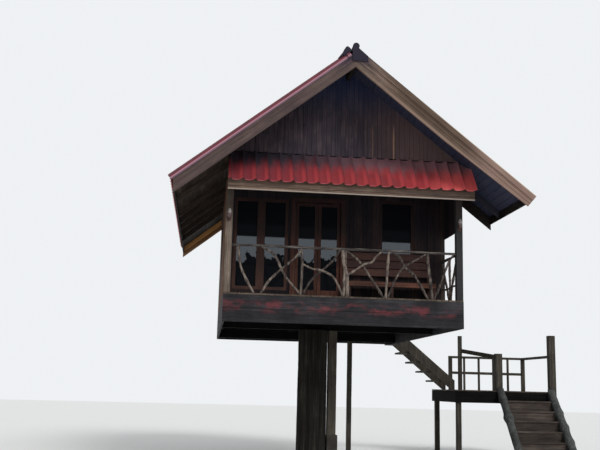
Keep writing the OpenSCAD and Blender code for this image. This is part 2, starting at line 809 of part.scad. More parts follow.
// Caps along the left front verge, cut round the ridge caps' wing, with a thick rim at the top
module verge_caps() {
    x0 = -eave_out - drip;
    cut = (ridge_x - ridge_wing - x0) / cos(roof_pitch) + on_roll * slope - 3;
    end = (ridge_x - 1.5 * ridge_r - x0) / cos(roof_pitch);
    rim = 70;
    color("#8f3a33") house() translate([x0, roof_y0, under_tiles(x0) + seat_gap])
        rotate([0, -roof_pitch, 0]) difference() {
            union() {
                rotate([90, 0, 90]) linear_extrude(end) verge_outline();
                translate([end - rim, 0, 0]) rotate([90, 0, 90]) linear_extrude(rim) verge_outline(28);
            }
            translate([cut, -2 * roll_p, on_roll - 1]) cube([end, 4 * roll_p, cap_t + 1 + 2 * seat_gap]);
        }
}

// One bargeboard on the left side, with two strips that stand proud along its top
module barge(y, out, side) {
    top = [for (x = [-out, ridge_x]) [x, under_tiles(x)]];
    for (strip = [[barge_h, 0], [2 * fillet_h, fillet_out / 2], [fillet_h, fillet_out]])
        along_y(y + side * strip[1], y + side * strip[1] + barge_t,
            [top[0], top[1], top[1] - [0, strip[0]], top[0] - [0, strip[0]]]);
}

// The right board in front is wider at the top, runs further down, is cut square at its end
// and carries a verge board that hides the ends of the tiles
module barge_square(y) {
    foot = 0.72 * barge_h;
    across = [-sin(roof_pitch), cos(roof_pitch)];
    corner = [-eave_out - 10, under_tiles(-eave_out - 10) - foot];
    function end(up) = corner + (foot + up) * cos(roof_pitch) * across;
    bend = 0.13 * floor_w;
    peak = [ridge_x, under_tiles(ridge_x)];
    along_y(y, y + barge_t, [corner, end(0), peak, peak - [0, barge_h],
        [bend, under_tiles(bend) - barge_h]]);
    for (strip = [[2 * fillet_h, fillet_out / 2], [fillet_h, fillet_out]])
        along_y(y - strip[1], y - strip[1] + barge_t, [end(-strip[0]), end(0), peak, peak - [0, strip[0]]]);
    start = ridge_x - ridge_wing - 2;
    along_y(y - verge_out, y - seat_gap, [end(-0.5 * fillet_h), end(verge_board_h),
        [start, under_tiles(start) + verge_board_h], [start, under_tiles(start) - 0.5 * fillet_h]]);
}

module bargeboards_front() {
    color("#8d7f76") house() {
        barge(roof_y0, eave_out, -1);
        mirror_on_ridge() barge_square(roof_y0);
    }
}

module bargeboards_rear() {
    color("#7d6a58") house() {
        barge(roof_y1 - barge_t, eave_out, 1);
        mirror_on_ridge() barge(roof_y1 - barge_t, short_eave_out, 1);
    }
}

// Board over the cut end of the wide right eave
module eave_end_board() {
    top = [for (x = [-eave_out, -short_eave_out]) [x, under_tiles(x)]];
    color("#3b3431") house() mirror_on_ridge() along_y(wide_y1 - barge_t, wide_y1,
        [top[0], top[1], top[1] - [0, barge_h], top[0] - [0, barge_h]]);
}

module eave_board(y0, y1, out) {
    block([-out, y0, under_boards(-out) - eave_board_h], [-out + eave_board_t, y1, under_boards(-out)]);
}

module eave_boards() {
    color("#8d7f76") house() {
        eave_board(roof_y0 + barge_t, roof_y1 - barge_t, eave_out);
        mirror_on_ridge() {
            eave_board(roof_y0 + barge_t, wide_y1 - barge_t, eave_out);
            eave_board(wide_y1, roof_y1 - barge_t, short_eave_out);
        }
    }
}

module gable_panel() { color("#3f3029") house() gable(gable_y, gable_t, plate_z + plate_h); }

// Pent roof over the veranda front

pent_angle = atan2(pent_top_h - pent_low_h, pent_out + gable_y);
pent_x = (floor_w - pent_w) / 2 + 60;

// Everything above the underside of the main roof's boarding, with a small margin
module over_main_roof(y0, y1) {
    z = [for (x = [-eave_out, ridge_x]) under_boards(x) - 4];
    along_y(y0, y1, [[-eave_out, z[0]], [ridge_x, z[1]], [floor_w + eave_out, z[0]],
        [floor_w + eave_out, 2 * z[1]], [-eave_out, 2 * z[1]]]);
}

// The sheet tucks under the main roof at its upper corners
module pent_roof_tiles() {
    run = norm([pent_top_h - pent_low_h, pent_out + gable_y]);
    color("#b3463c") house() difference() {
        translate([pent_x, gable_y, deck + pent_top_h + seat_gap])
            rotate([90 + pent_angle, 0, 0]) linear_extrude(run)
                roll_outline(pent_rolls, pent_w / pent_rolls);
        over_main_roof(-pent_out - 100, gable_y + 100);
    }
}

// Height of the pent tiles' underside at y
function under_pent(y) = deck + pent_top_h - (gable_y - y) * tan(pent_angle);

// Short rafters that stand on the head beam and run out to the fascia
module pent_rafters() {
    y0 = -pent_out + 50 + pent_fascia_t;
    v = 70 / cos(pent_angle);
    n = 5;
    gap = (floor_w - 2 * wall_t - rafter_w) / (n - 1);
    difference() {
        for (i = [0 : n - 1])
            along_x(wall_t + i * gap, wall_t + i * gap + rafter_w,
                [[y0, under_pent(y0)], [gable_y, under_pent(gable_y)],
                 [gable_y, plate_z + plate_h], [post_y, plate_z + plate_h],
                 [post_y, under_pent(post_y) - v], [y0, under_pent(y0) - v]]);
        over_main_roof(-pent_out - 100, gable_y + 100);
    }
}

module pent_fascia() {
    y0 = -pent_out + 50;
    color("#a2968a") house()
        along_x(pent_x + 30, pent_x + pent_w - 30, [[y0, under_pent(y0)],
            [y0 + pent_fascia_t, under_pent(y0 + pent_fascia_t)],
            [y0 + pent_fascia_t, under_pent(y0) - pent_fascia_h], [y0, under_pent(y0) - pent_fascia_h]]);
}

// Stairs and landing

module back_platform() {
    color("#5a4a3c") house() {
        block([back_x0, floor_d, deck - deck_t], [upper_top_x, landing_y1, deck]);
        for (x = [back_x0, upper_top_x - joist_w])
            block([x, floor_d, joist_z], [x + joist_w, landing_y1, deck - deck_t]);
    }
}

// Upper flight, rising towards -X from the landing to the platform behind the room
module upper_flight() {
    x1 = upper_top_x + upper_risers * upper_going;
    drop = stringer_h / cos(atan2(upper_rise, upper_going));
    color("#4a3d33") house() {
        for (y = [upper_y0, upper_y0 + stringer_t + upper_w])
            along_y(y, y + stringer_t, [[upper_top_x, deck], [upper_top_x + upper_going, deck],
                [x1, landing_z + upper_rise], [x1, landing_z],
                [x1 - upper_going * (drop - upper_rise) / upper_rise, landing_z],
                [upper_top_x, deck + upper_rise - drop]]);
        for (i = [1 : upper_risers - 1]) {
            z = landing_z + i * upper_rise;
            block([x1 - (i + 1) * upper_going + 10, upper_y0 + stringer_t, z - tread_t],
                  [x1 - i * upper_going + nosing, upper_y0 + stringer_t + upper_w, z]);
        }
    }
}

landing_x1 = landing_x + landing_w;

module landing_deck() {
    color("#5a4a3c") house() {
        block([landing_x, landing_y, landing_z - deck_t], [landing_x1, landing_y1, landing_z]);
        for (y = [landing_y, landing_y1 - 50])
            block([landing_x, y, landing_z - deck_t - landing_beam_h],
                  [landing_x1, y + 50, landing_z - deck_t]);
        for (x = [landing_x, landing_x1 - 50])
            block([x, landing_y, landing_z - deck_t - landing_beam_h],
                  [x + 50, landing_y1, landing_z - deck_t]);
    }
}

module landing_posts() {
    w = landing_post_w;
    color("#4a3d33") house()
        for (x = [landing_x + 50, landing_x1 - 50 - w], y = [landing_y + 50, landing_y1 - 50 - w])
            block([x, y, 0], [x + w, y + w, landing_z - deck_t]);
}

newel_w = 160;

module landing_rails() {
    w = 90;
    top = landing_z + landing_rail_h;
    newel_x = landing_x + 460;
    left_x = lower_x - newel_w - 5;
    right_x = landing_x1 - w;
    stair_x = landing_x1 - newel_w;
    mid = landing_z + landing_rail_h / 2;
    color("#5b4c40") house() {
        block([newel_x, upper_y0 - w, landing_z], [newel_x + w, upper_y0, landing_z + 1400]);
        block([left_x, landing_y, landing_z], [left_x + newel_w, landing_y + newel_w, top + 60]);
        block([stair_x, landing_y, landing_z], [landing_x1, landing_y + newel_w, landing_z + 1400]);
        block([right_x, landing_y1 - w, landing_z], [landing_x1, landing_y1, top]);
        // Guard rail from the tall newel forward to the one beside the lower flight
        hull() {
            block([newel_x + w - 5, upper_y0 - w, landing_z + 960],
                  [newel_x + w, upper_y0 - 20, landing_z + 1060]);
            block([left_x, landing_y + 50, top - 70], [left_x + 5, landing_y + 120, top + 30]);
        }
        block([newel_x, landing_y1 - w, landing_z], [newel_x + w, landing_y1, top]);
        block([newel_x, landing_y1 - w, top], [right_x + w, landing_y1, top + 60]);
        block([right_x, landing_y, top], [right_x + w, landing_y1 - w, top + 60]);
        block([newel_x + w, landing_y1 - 65, mid], [right_x, landing_y1 - 25, mid + 70]);
        for (i = [1 : 4]) {
            x = newel_x + i * (right_x - newel_x) / 5;
            block([x, landing_y1 - 70, landing_z], [x + 50, landing_y1 - 20, top]);
        }
    }
}

// Lower flight, down towards the front from the landing to the ground
lower_run = lower_risers * lower_going;

// How deep the treads and risers are let into the logs
housing = 25;
nosing = 20;
riser_t = 20;

string_t = 50;

// A log along the nosings on each side, over a board that closes the ends of the steps
module lower_stringers() {
    angle = atan2(landing_z, lower_run);
    len = norm([landing_z, lower_run]);
    low = [landing_y - 1.3 * lower_run, -0.3 * landing_z];
    high = [landing_y, landing_z];
    depth = [0, lower_rise + 80];
    color("#6b5443") house() difference() {
        for (side = [-1, 1]) {
            x = lower_x + lower_w / 2 + side * (lower_w / 2 - housing);
            intersection() {
                union() {
                    translate([x + side * log_d / 2, landing_y - lower_run, 0]) rotate([angle - 90, 0, 0])
                        translate([0, 0, -log_d]) cylinder(d = log_d, h = len + 2 * log_d, $fn = 24);
                    along_x(min(x, x + side * string_t), max(x, x + side * string_t),
                        [low, high, high - depth, low - depth]);
                }
                block([x - 2 * log_d, landing_y - 2 * lower_run, 0],
                      [x + 2 * log_d, landing_y, landing_z + 60]);
            }
        }
        treads();
    }
}

// Treads over closed risers, from one log to the other
module treads() {
    for (i = [1 : lower_risers - 1]) {
        y = landing_y - i * lower_going;
        z = landing_z - i * lower_rise;
        foot = max(0, z - lower_rise - tread_t / 2);
        back = min(landing_y, y + lower_going + riser_t);
        block([lower_x, y - nosing, z - tread_t], [lower_x + lower_w, back, z]);
        block([lower_x, y, foot], [lower_x + lower_w, y + riser_t, z - tread_t / 2]);
    }
}

module lower_treads() { color("#6e3b28") house() treads(); }

trunk_pier();
side_post();
side_post_footing();
rear_post();
floor_beams();
floor_joists();
floor_boards();
deck_edge_front();
deck_edge_sides();
veranda_frame();
front_railing();
side_railings();
post_lamps();
bench();
veranda_side_boards();
front_wall_left();
front_wall_right();
front_wall_over_door();
left_wall();
right_wall();
rear_wall_left();
rear_wall_right();
rear_wall_over_door();
door_frame();
door_leaf_left();
door_leaf_right();
door_glass_left();
door_glass_right();
window_frames();
window_glass();
roof_beams();
rafters();
roof_boards();
roof_tiles_left();
roof_tiles_right();
ridge_caps();
verge_caps();
bargeboards_front();
bargeboards_rear();
eave_end_board();
eave_boards();
gable_panel();
pent_roof_tiles();
pent_fascia();
back_platform();
upper_flight();
landing_deck();
landing_posts();
landing_rails();
lower_stringers();
lower_treads();
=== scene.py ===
# %% [markdown]
# # A small timber house on one trunk pier
# The house stands on a single thick trunk, with a veranda in front, a steep gable roof and stairs at the
# back. The packed CAD model already puts every plate, post and tile sheet in its true place. This notebook
# gives those pieces what a saw, a paintbrush and years outside gave the real ones: single boards, crooked
# branches, overlapping tile sheets, and finishes worn by sun and rain, with light and shade painted into
# them too.

# %% Load the fixed frame
import math

import bpy
import numpy as np
from mathutils import Matrix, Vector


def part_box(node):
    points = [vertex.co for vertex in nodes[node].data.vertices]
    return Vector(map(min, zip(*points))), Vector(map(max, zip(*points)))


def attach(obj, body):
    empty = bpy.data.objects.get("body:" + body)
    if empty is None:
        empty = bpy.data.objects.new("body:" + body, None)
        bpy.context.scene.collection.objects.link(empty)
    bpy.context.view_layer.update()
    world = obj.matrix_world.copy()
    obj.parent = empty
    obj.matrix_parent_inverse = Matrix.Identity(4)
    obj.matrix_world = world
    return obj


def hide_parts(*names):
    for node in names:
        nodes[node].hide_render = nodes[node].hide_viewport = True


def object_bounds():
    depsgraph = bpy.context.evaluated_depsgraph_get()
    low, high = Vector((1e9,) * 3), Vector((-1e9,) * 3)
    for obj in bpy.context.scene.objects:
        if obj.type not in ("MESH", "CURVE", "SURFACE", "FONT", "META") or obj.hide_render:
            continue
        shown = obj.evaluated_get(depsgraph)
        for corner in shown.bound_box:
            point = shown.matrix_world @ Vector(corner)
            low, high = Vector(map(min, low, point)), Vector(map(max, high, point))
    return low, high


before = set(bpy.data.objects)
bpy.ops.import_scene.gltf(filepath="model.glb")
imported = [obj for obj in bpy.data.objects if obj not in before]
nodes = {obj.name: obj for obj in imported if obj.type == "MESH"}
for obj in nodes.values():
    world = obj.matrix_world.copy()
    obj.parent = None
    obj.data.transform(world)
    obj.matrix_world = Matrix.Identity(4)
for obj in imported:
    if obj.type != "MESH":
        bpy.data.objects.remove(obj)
cad_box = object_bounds()
chance = np.random.default_rng(20)
print("the frame holds", len(nodes), "pieces")

# %% [markdown]
# ## Where things are
# A carpenter measures from the corner of the deck, so this notebook does too: x to the right along the
# front edge, y from the front edge to the back, z up from the deck boards. The size of the deck is read from
# the packed model. The rest repeats the sizes that the CAD source gives, in metres.

# %% Measures of the house, in metres
floor_low, floor_high = (np.array(corner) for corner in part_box("floor_boards"))
CORNER = np.array([floor_low[0], floor_low[1], floor_high[2]])
WIDTH, DEPTH = (floor_high - floor_low)[:2]
GROUND = -float(floor_high[2])
DECK_Z = float(CORNER[2])
RIDGE_X = WIDTH / 2
PITCH = math.radians(38.3)
SLOPE = math.tan(PITCH)
EAVE, SHORT_EAVE, DRIP = 0.99, 0.33, 0.04
ROOF_FRONT, ROOF_BACK = -0.86, DEPTH + 0.74
BARGE = 0.035
ROLLS, WIDE_ROLLS = 33, 9
ROLL_PITCH = (ROOF_BACK - ROOF_FRONT) / ROLLS
WIDE_END = 1.28
ROOM_FRONT, ROOM_BACK = 1.27, DEPTH - 0.04
PLATE_Z, PLATE_H = 2.45, 0.15
WALL_T, BOARDING = 0.10, 0.02
PENT_LOW, PENT_TOP, PENT_OUT = 2.05, 2.72, 0.45
POST_Y, CORNER_W, RAIL_Z = 0.02, 0.125, 0.915
GABLE_Y = POST_Y + CORNER_W / 3
X, Y, Z = np.eye(3)


def house(points):
    """Points measured from the deck corner, moved to where the packed model has them."""
    return np.asarray(points, float) + CORNER


def under_boards(x):
    """Height of the roof boarding's underside at x: it rises with the pitch up to the ridge line."""
    return PLATE_Z + PLATE_H - 0.03 + SLOPE * (RIDGE_X - np.abs(x - RIDGE_X)) + 0.1 / math.cos(PITCH)


def under_tiles(x):
    """The tiles lie on the boarding, so its thickness is added square to the slope."""
    return under_boards(x) + BOARDING / math.cos(PITCH)


print("deck", round(WIDTH, 2), "by", round(DEPTH, 2), "and", round(-GROUND, 2), "above the ground")

# %% [markdown]
# ## The camera
# The photograph was taken from low down in front, a little left of the pier. Edges measured in it give the
# three turns of the camera, and the lens follows from how wide the house appears in a frame 600 wide.

# %% Place the camera
FRAME_W, LENS_PIXELS, SENSOR = 600, 850.86, 36.0
YAW, TILT, ROLL = 0.1063, 0.1897, 0.0252
CAMERA_AT = (-2.263, -18.048, 1.573)
look = np.array([math.sin(YAW) * math.cos(TILT), math.cos(YAW) * math.cos(TILT), math.sin(TILT)])
level = np.array([math.cos(YAW), -math.sin(YAW), 0.0])
lift = np.cross(level, look)
right = math.cos(ROLL) * level + math.sin(ROLL) * lift
up = math.cos(ROLL) * lift - math.sin(ROLL) * level
camera_data = bpy.data.cameras.new("camera")
camera_data.sensor_width = SENSOR
camera_data.lens = SENSOR * LENS_PIXELS / FRAME_W
camera = bpy.data.objects.new("camera", camera_data)
turned = Matrix(np.stack([right, up, -look], 1).tolist()).to_4x4()
camera.matrix_world = Matrix.Translation(CAMERA_AT) @ turned
bpy.context.scene.collection.objects.link(camera)
bpy.context.scene.camera = camera
print("lens", round(camera_data.lens, 1), "mm")

# %% [markdown]
# ## Shader maths as plain Python
# A finish here is a sum of noises, masks and ramps. Wiring those by hand hides the idea, so a small class
# wraps one socket, and adding or multiplying two of them adds the Math node that does it. Colours are given
# as on a paint card, from 0 to 255.


# %% A paint card
def paint(red, green, blue):
    """The linear values that shaders use: ((c + 0.055) / 1.055) ^ 2.4, and c / 12.92 where c is very dark."""
    card = np.array([red, green, blue]) / 255
    linear = np.where(card <= 0.04045, card / 12.92, ((card + 0.055) / 1.055) ** 2.4)
    return (*linear.tolist(), 1.0)


print("middle grey on the card is", round(paint(128, 128, 128)[0], 3), "in a shader")


# %% A socket that can be calculated with
class Flow:
    """One output socket of a finish, usable in sums and products with numbers and other sockets."""

    def __init__(self, finish, socket):
        self.finish, self.socket = finish, socket

    def sum(self, operation, first, second=0.0):
        return self.finish.make("Math", {"operation": operation}, {0: first, 1: second})

    def __add__(self, other):
        return self.sum("ADD", self, other)

    def __sub__(self, other):
        return self.sum("SUBTRACT", self, other)

    def __rsub__(self, other):
        return self.sum("SUBTRACT", other, self)

    def __mul__(self, other):
        return self.sum("MULTIPLY", self, other)

    def __truediv__(self, other):
        return self.sum("DIVIDE", self, other)

    __radd__, __rmul__ = __add__, __mul__

    def size(self):
        """The value without its sign."""
        return self.sum("ABSOLUTE", self)

    def fraction(self):
        return self.sum("FRACT", self)

    def step(self, low, high):
        """0 below low, 1 above high, and a soft rise between them."""
        return self.finish.make("MapRange", {"interpolation_type": "SMOOTHSTEP"},
                                {"Value": self, "From Min": low, "From Max": high})

    def until(self, low, high):
        """1 below low and 0 above high."""
        return 1.0 - self.step(low, high)

    def near(self, place, inner, outer):
        """1 within inner of a place, 0 further than outer from it."""
        return (self - place).size().until(inner, outer)


print("besides + - * / a Flow knows", ", ".join(name for name in vars(Flow) if name[0] != "_"))


# %% A finish and the few nodes it is made of
class Finish:
    """A material under a maker's name, with one method that adds any node. A colour is a Flow or the three
    numbers of a paint card. Constants are set on the shader's own sockets."""

    def __init__(self, name, constants=None):
        self.material = bpy.data.materials.new(name)
        self.material.use_nodes = True
        self.tree = self.material.node_tree
        self.shader = self.tree.nodes["Principled BSDF"]
        for key, value in (constants or {}).items():
            self.shader.inputs[key].default_value = value
        self.place = self.make("TexCoord", output="Object")

    def make(self, kind, settings=None, inputs=None, output=0):
        """Adds a node: settings first, then its sockets, which take a number, a colour or a Flow."""
        node = self.tree.nodes.new("ShaderNode" + kind)
        for key, value in (settings or {}).items():
            if key == "stops":
                while len(node.color_ramp.elements) < len(value):
                    node.color_ramp.elements.new(0.5)
                for stop, (where, colour) in zip(node.color_ramp.elements, value):
                    stop.position, stop.color = where, colour
            else:
                setattr(node, key, value)
        for key, value in (inputs or {}).items():
            if isinstance(value, Flow):
                self.tree.links.new(value.socket, node.inputs[key])
            else:
                node.inputs[key].default_value = value
        return Flow(self, node.outputs[output])

    def axis(self, where, name):
        return self.make("SeparateXYZ", None, {0: where}, name)

    def at(self, name):
        """One coordinate measured from the deck corner."""
        return self.axis(self.place, name) - float(CORNER["XYZ".index(name)])

    def stretched(self, where, factors):
        return self.make("VectorMath", {"operation": "MULTIPLY"}, {0: where, 1: factors})

    def moved(self, where, by):
        """The place shifted by one value in all three directions, so that each board cuts its own grain."""
        shift = self.make("CombineXYZ", None, {0: by * 31.0, 1: by * 17.0, 2: by * 23.0})
        return self.make("VectorMath", {"operation": "ADD"}, {0: where, 1: shift})

    def noise(self, scale, detail=4.0, rough=0.55, where=None):
        """Noise in a place. Three scales instead of one draw it out along the axis that has the smallest."""
        where = where or self.place
        if isinstance(scale, tuple):
            where, scale = self.stretched(where, scale), 1.0
        inputs = {"Vector": where, "Scale": scale, "Detail": detail, "Roughness": rough}
        return self.make("TexNoise", None, inputs)

    def ramp(self, value, *stops):
        return self.make("ValToRGB", {"stops": [(place, paint(*card)) for place, card in stops]}, {0: value})

    def mix(self, mask, under, over):
        """Colour over lies on colour under where the mask is 1."""
        under, over = (paint(*colour) if isinstance(colour, tuple) else colour for colour in (under, over))
        return self.make("Mix", {"data_type": "RGBA"}, {0: mask, 6: under, 7: over}, 2)

    def tone(self):
        """The piece's own number per board, from -0.5 to 0.5, and 0 on a piece that has none."""
        return self.make("Attribute", {"attribute_name": "tone"}, None, "Fac")

    def feed(self, key, value):
        """Gives one of the shader's sockets a Flow, a colour or a number."""
        if isinstance(value, Flow):
            self.tree.links.new(value.socket, self.shader.inputs[key])
        else:
            self.shader.inputs[key].default_value = paint(*value) if isinstance(value, tuple) else value

    def repaint(self, mask, over):
        """Lays a colour over the finished one where the mask is 1."""
        under = Flow(self, self.shader.inputs["Base Color"].links[0].from_socket)
        self.feed("Base Color", self.mix(mask, under, over))

    def wear(self, colour, rough, height=None, strength=0.3, depth=0.004, gloss=0.5):
        """Sets the shader's colour, roughness and relief. gloss is how much a dry surface still mirrors."""
        self.feed("Specular IOR Level", gloss)
        self.feed("Base Color", colour)
        self.feed("Roughness", rough)
        if height is not None:
            relief = {"Strength": strength, "Distance": depth, "Height": height}
            self.feed("Normal", self.make("Bump", None, relief, "Normal"))


print("a Finish can", ", ".join(name for name in vars(Finish) if name[0] != "_"))

# %% [markdown]
# ## Weathered timber
# Sawn boards left outside lose their colour in streaks along the grain, collect dirt in the low places and
# differ from one board to the next. So the finish adds a long stretched noise for the grain, a round one
# for stains, dark knots and the board's own tone, and sends the sum through a ramp of three colours. On the
# roof the grain follows the slope, so there the place is turned into slope measures first.

# %% The timber finish
GRAIN = {"x": (1.3, 26.0, 26.0), "y": (26.0, 1.3, 26.0), "z": (26.0, 26.0, 1.3)}


def slope_place(finish):
    """Position seen along a roof side: x runs down the slope, y along the ridge, z out of the roof."""
    away = (finish.axis(finish.place, "X") - float(CORNER[0] + RIDGE_X)).size()
    height = finish.axis(finish.place, "Z")
    down = away * math.cos(PITCH) - height * math.sin(PITCH)
    out = away * math.sin(PITCH) + height * math.cos(PITCH)
    return finish.make("CombineXYZ", None, {0: down, 1: finish.axis(finish.place, "Y"), 2: out})


def timber(name, dark, middle, light, along="z", slope=False, stain=0.35, rough=(0.62, 0.9), spread=0.16,
           gloss=0.15):
    """Boards with grain along one axis. Value = grain + fibre + stains + the board's tone - knots."""
    finish = Finish(name)
    tone = finish.tone()
    place = finish.moved(slope_place(finish) if slope else finish.place, tone)
    grain = finish.noise(GRAIN[along], 6.0, 0.62, place)
    fibre = finish.noise(tuple(4 * v for v in GRAIN[along]), 3.0, 0.5, place)
    stains = finish.noise(2.1, 5.0, 0.6, place)
    knot_place = finish.stretched(place, tuple(0.24 * v if v > 2 else 0.9 for v in GRAIN[along]))
    knot = finish.make("TexVoronoi", None, {"Vector": knot_place, "Scale": 1.0}, "Distance").until(0.03, 0.16)
    value = grain * 0.55 + fibre * 0.15 + stains * stain + tone * spread - knot * 0.1 + (0.17 - 0.5 * stain)
    colour = finish.ramp(value, (0.36, dark), (0.52, middle), (0.68, light))
    roughness = rough[0] + (rough[1] - rough[0]) * grain
    finish.wear(colour, roughness, grain + fibre * 0.4 - knot * 0.3, 0.35, gloss=gloss)
    return finish


# %% The timbers of the house, from the ground up
# The timbers under the deck, the landing and the roof are painted nearly black: painted shade.
UNDERFLOOR = ((8, 9, 9), (13, 14, 14), (24, 23, 22))
SHADED = ((20, 18, 17), (34, 30, 27), (54, 47, 41))
under_timber = timber("underfloor_timber", *UNDERFLOOR, "y", gloss=0.03)
under_cross = timber("underfloor_cross_timber", *UNDERFLOOR, "x", gloss=0.03)
dark_timber = timber("dark_timber", *SHADED, "y")
dark_cross = timber("dark_cross_timber", *SHADED, "x")
post_timber = timber("dark_posts", (34, 31, 28), (56, 52, 46), (84, 78, 68))
log_timber = timber("log_rails", (38, 40, 38), (62, 64, 62), (96, 98, 96))
tread_timber = timber("tread_boards", (42, 36, 33), (65, 57, 52), (92, 82, 76), "x")
cross_timber = timber("platform_boards", (44, 38, 33), (70, 61, 53), (98, 87, 76), "x")
deck_timber = timber("deck_boards", (50, 43, 37), (78, 68, 59), (108, 96, 84), "y")
pale_posts = timber("pale_posts", (64, 55, 49), (104, 92, 82), (146, 131, 117))
pale_cross = timber("pale_cross_boards", (58, 47, 42), (92, 76, 66), (130, 108, 92), "x")
wall_timber = timber("wall_boards", (22, 19, 23), (37, 31, 34), (62, 46, 44))
joinery = timber("door_joinery", (44, 26, 22), (76, 46, 38), (108, 68, 54), rough=(0.4, 0.65))
bench_timber = timber("bench_slats", (46, 31, 28), (76, 50, 42), (114, 74, 58), "x", rough=(0.4, 0.7))
gable_timber = timber("gable_boards", (38, 33, 40), (54, 47, 54), (80, 66, 69), stain=0.5, spread=0.05)
soffit_timber = timber("soffit_boards", (37, 31, 28), (62, 53, 47), (92, 79, 70), "y", True)
rafter_timber = timber("rafters", (40, 34, 31), (68, 58, 51), (98, 84, 74), "x", True)
barge_timber = timber("bargeboards", (66, 54, 50), (102, 86, 76), (144, 124, 110), "x", True)
# The rear bargeboards are painted in the orange of sunlit wood: painted sunlight.
sunlit_rear_timber = timber("rear_bargeboards", (96, 72, 50), (144, 108, 76), (184, 144, 104), "x", True)
print(len(bpy.data.materials), "finishes so far")

# %% [markdown]
# ## Weather, light and shade that differ from place to place
# The same board weathers differently from place to place, and its colour here also carries painted light and
# shade: lighter where the sun reached it, darker in the shade under a roof. A place mask does that: a soft
# step along one axis, measured in the house's own measures, multiplied with others and laid over the finished
# colour. A second mask in slope measures picks out the edges of the bargeboards.


# %% Sun and shade
def weather_and_light(finish, amount, over, *spans):
    """Lays a colour over part of a finish. Mask = amount * a soft step for each span (axis, start, end): it
    rises from start to end, and where end is the smaller one it falls."""
    for axis, start, end in spans:
        place = finish.at(axis)
        amount = amount * (place.step(start, end) if start < end else place.until(end, start))
    finish.repaint(amount, over)


WEATHER_AND_LIGHT = [
    # Painted shade on the left bargeboard; the right one is darker in its middle and paler at its foot.
    (barge_timber, 0.62, (64, 52, 56), ("X", 2.4, 2.1)),
    (barge_timber, 0.72, (84, 67, 55), ("X", 2.6, 3.3), ("X", 5.0, 4.3)),
    (barge_timber, 0.4, (168, 136, 124), ("X", 4.2, 5.0)),
    # Painted light on the gable: lighter and warmer at the right, and blue sky light under the peak.
    (gable_timber, 0.65, (106, 84, 82), ("X", 2.4, 3.8)),
    (gable_timber, 0.75, (42, 54, 86), ("Z", 3.4, 4.4)),
    # Painted light and shade under the roof: blue shade at the right, shade behind the rear wall, and
    # sunlight on the rafters' ends there.
    (soffit_timber, 0.8, (52, 58, 82), ("X", 2.3, 2.5)),
    (rafter_timber, 0.7, (40, 46, 64), ("X", 2.3, 2.5)),
    (rafter_timber, 0.9, (226, 166, 104), ("Y", DEPTH + 0.3, DEPTH + 0.6)),
    (soffit_timber, 0.8, (18, 15, 13), ("Y", DEPTH - 0.5, DEPTH)),
    # Posts: the right front one is dark, all are painted in shade near the roof, the room's left corner is
    # painted lit by the sun, and its right corners are darker.
    (pale_posts, 0.93, (39, 40, 43), ("X", 4.3, 4.4), ("Y", 0.4, 0.2)),
    (pale_posts, 0.68, (52, 45, 42), ("Z", 1.38, 1.75)),
    (pale_posts, 0.8, (112, 79, 58), ("Y", 1.0, 1.2), ("X", 1.0, 0.5)),
    (pale_posts, 0.85, (34, 27, 26), ("Y", 1.0, 1.2), ("X", 3.0, 4.0)),
    # Doors and windows: painted shade at the head, under the pent roof; grey at the left window's foot, dark
    # at the right window.
    (joinery, 0.78, (30, 22, 24), ("Z", 1.1, 1.5)),
    (joinery, 0.5, (62, 49, 45), ("X", 1.36, 1.3), ("Z", 1.5, 1.1)),
    (joinery, 0.55, (32, 23, 24), ("X", 2.9, 3.1), ("Y", 1.5, 1.4)),
    # The front wall is painted in shade near the roof, and the left wall's outside is painted as lit by the
    # sun.
    (wall_timber, 0.4, (20, 18, 24), ("Z", 1.15, 1.7), ("Y", 1.4, 1.38)),
    (wall_timber, 0.45, (112, 80, 60), ("X", 0.01, 0.006)),
    # The bench's back is greyer than its seat.
    (bench_timber, 0.5, (66, 50, 50), ("Z", 0.5, 0.52)),
]
for row in WEATHER_AND_LIGHT:
    weather_and_light(*row)
print("laid", len(WEATHER_AND_LIGHT), "masks of sun and shade")


# %% Edges of the bargeboards, pale streaks in the gable
def above_boarding(finish):
    """Metres above the top of the roof boarding, square to the slope."""
    return finish.axis(slope_place(finish), "Z") - (DECK_Z + float(under_tiles(RIDGE_X))) * math.cos(PITCH)


barge_x, barge_up = barge_timber.at("X"), above_boarding(barge_timber)
# Painted shade on the bargeboards' upper edge near the peak, under the ridge plate.
shade_under_plate = barge_x.near(RIDGE_X, 0.08, 0.5) * barge_up.step(-0.2, -0.02)
barge_timber.repaint(shade_under_plate * 0.7, (50, 43, 60))
barge_timber.repaint(barge_up.step(0.062, 0.072) * barge_x.step(3.0, 4.4) * 0.8, (206, 190, 176))
barge_timber.repaint(barge_up.until(-0.19, -0.165) * barge_x.step(2.3, 3.4) * 0.5, (160, 134, 120))

STREAKS = ((3.235, 0.6), (2.81, 0.25))
ragged = gable_timber.noise((30.0, 30.0, 3.0)).step(0.36, 0.5)
for streak_x, amount in STREAKS:
    streak = gable_timber.at("X").near(streak_x, 0.008, 0.018) * ragged * amount
    weather_and_light(gable_timber, streak, (176, 134, 108), ("Z", 3.5, 3.2))
print("painted three edges and", len(STREAKS), "streaks")
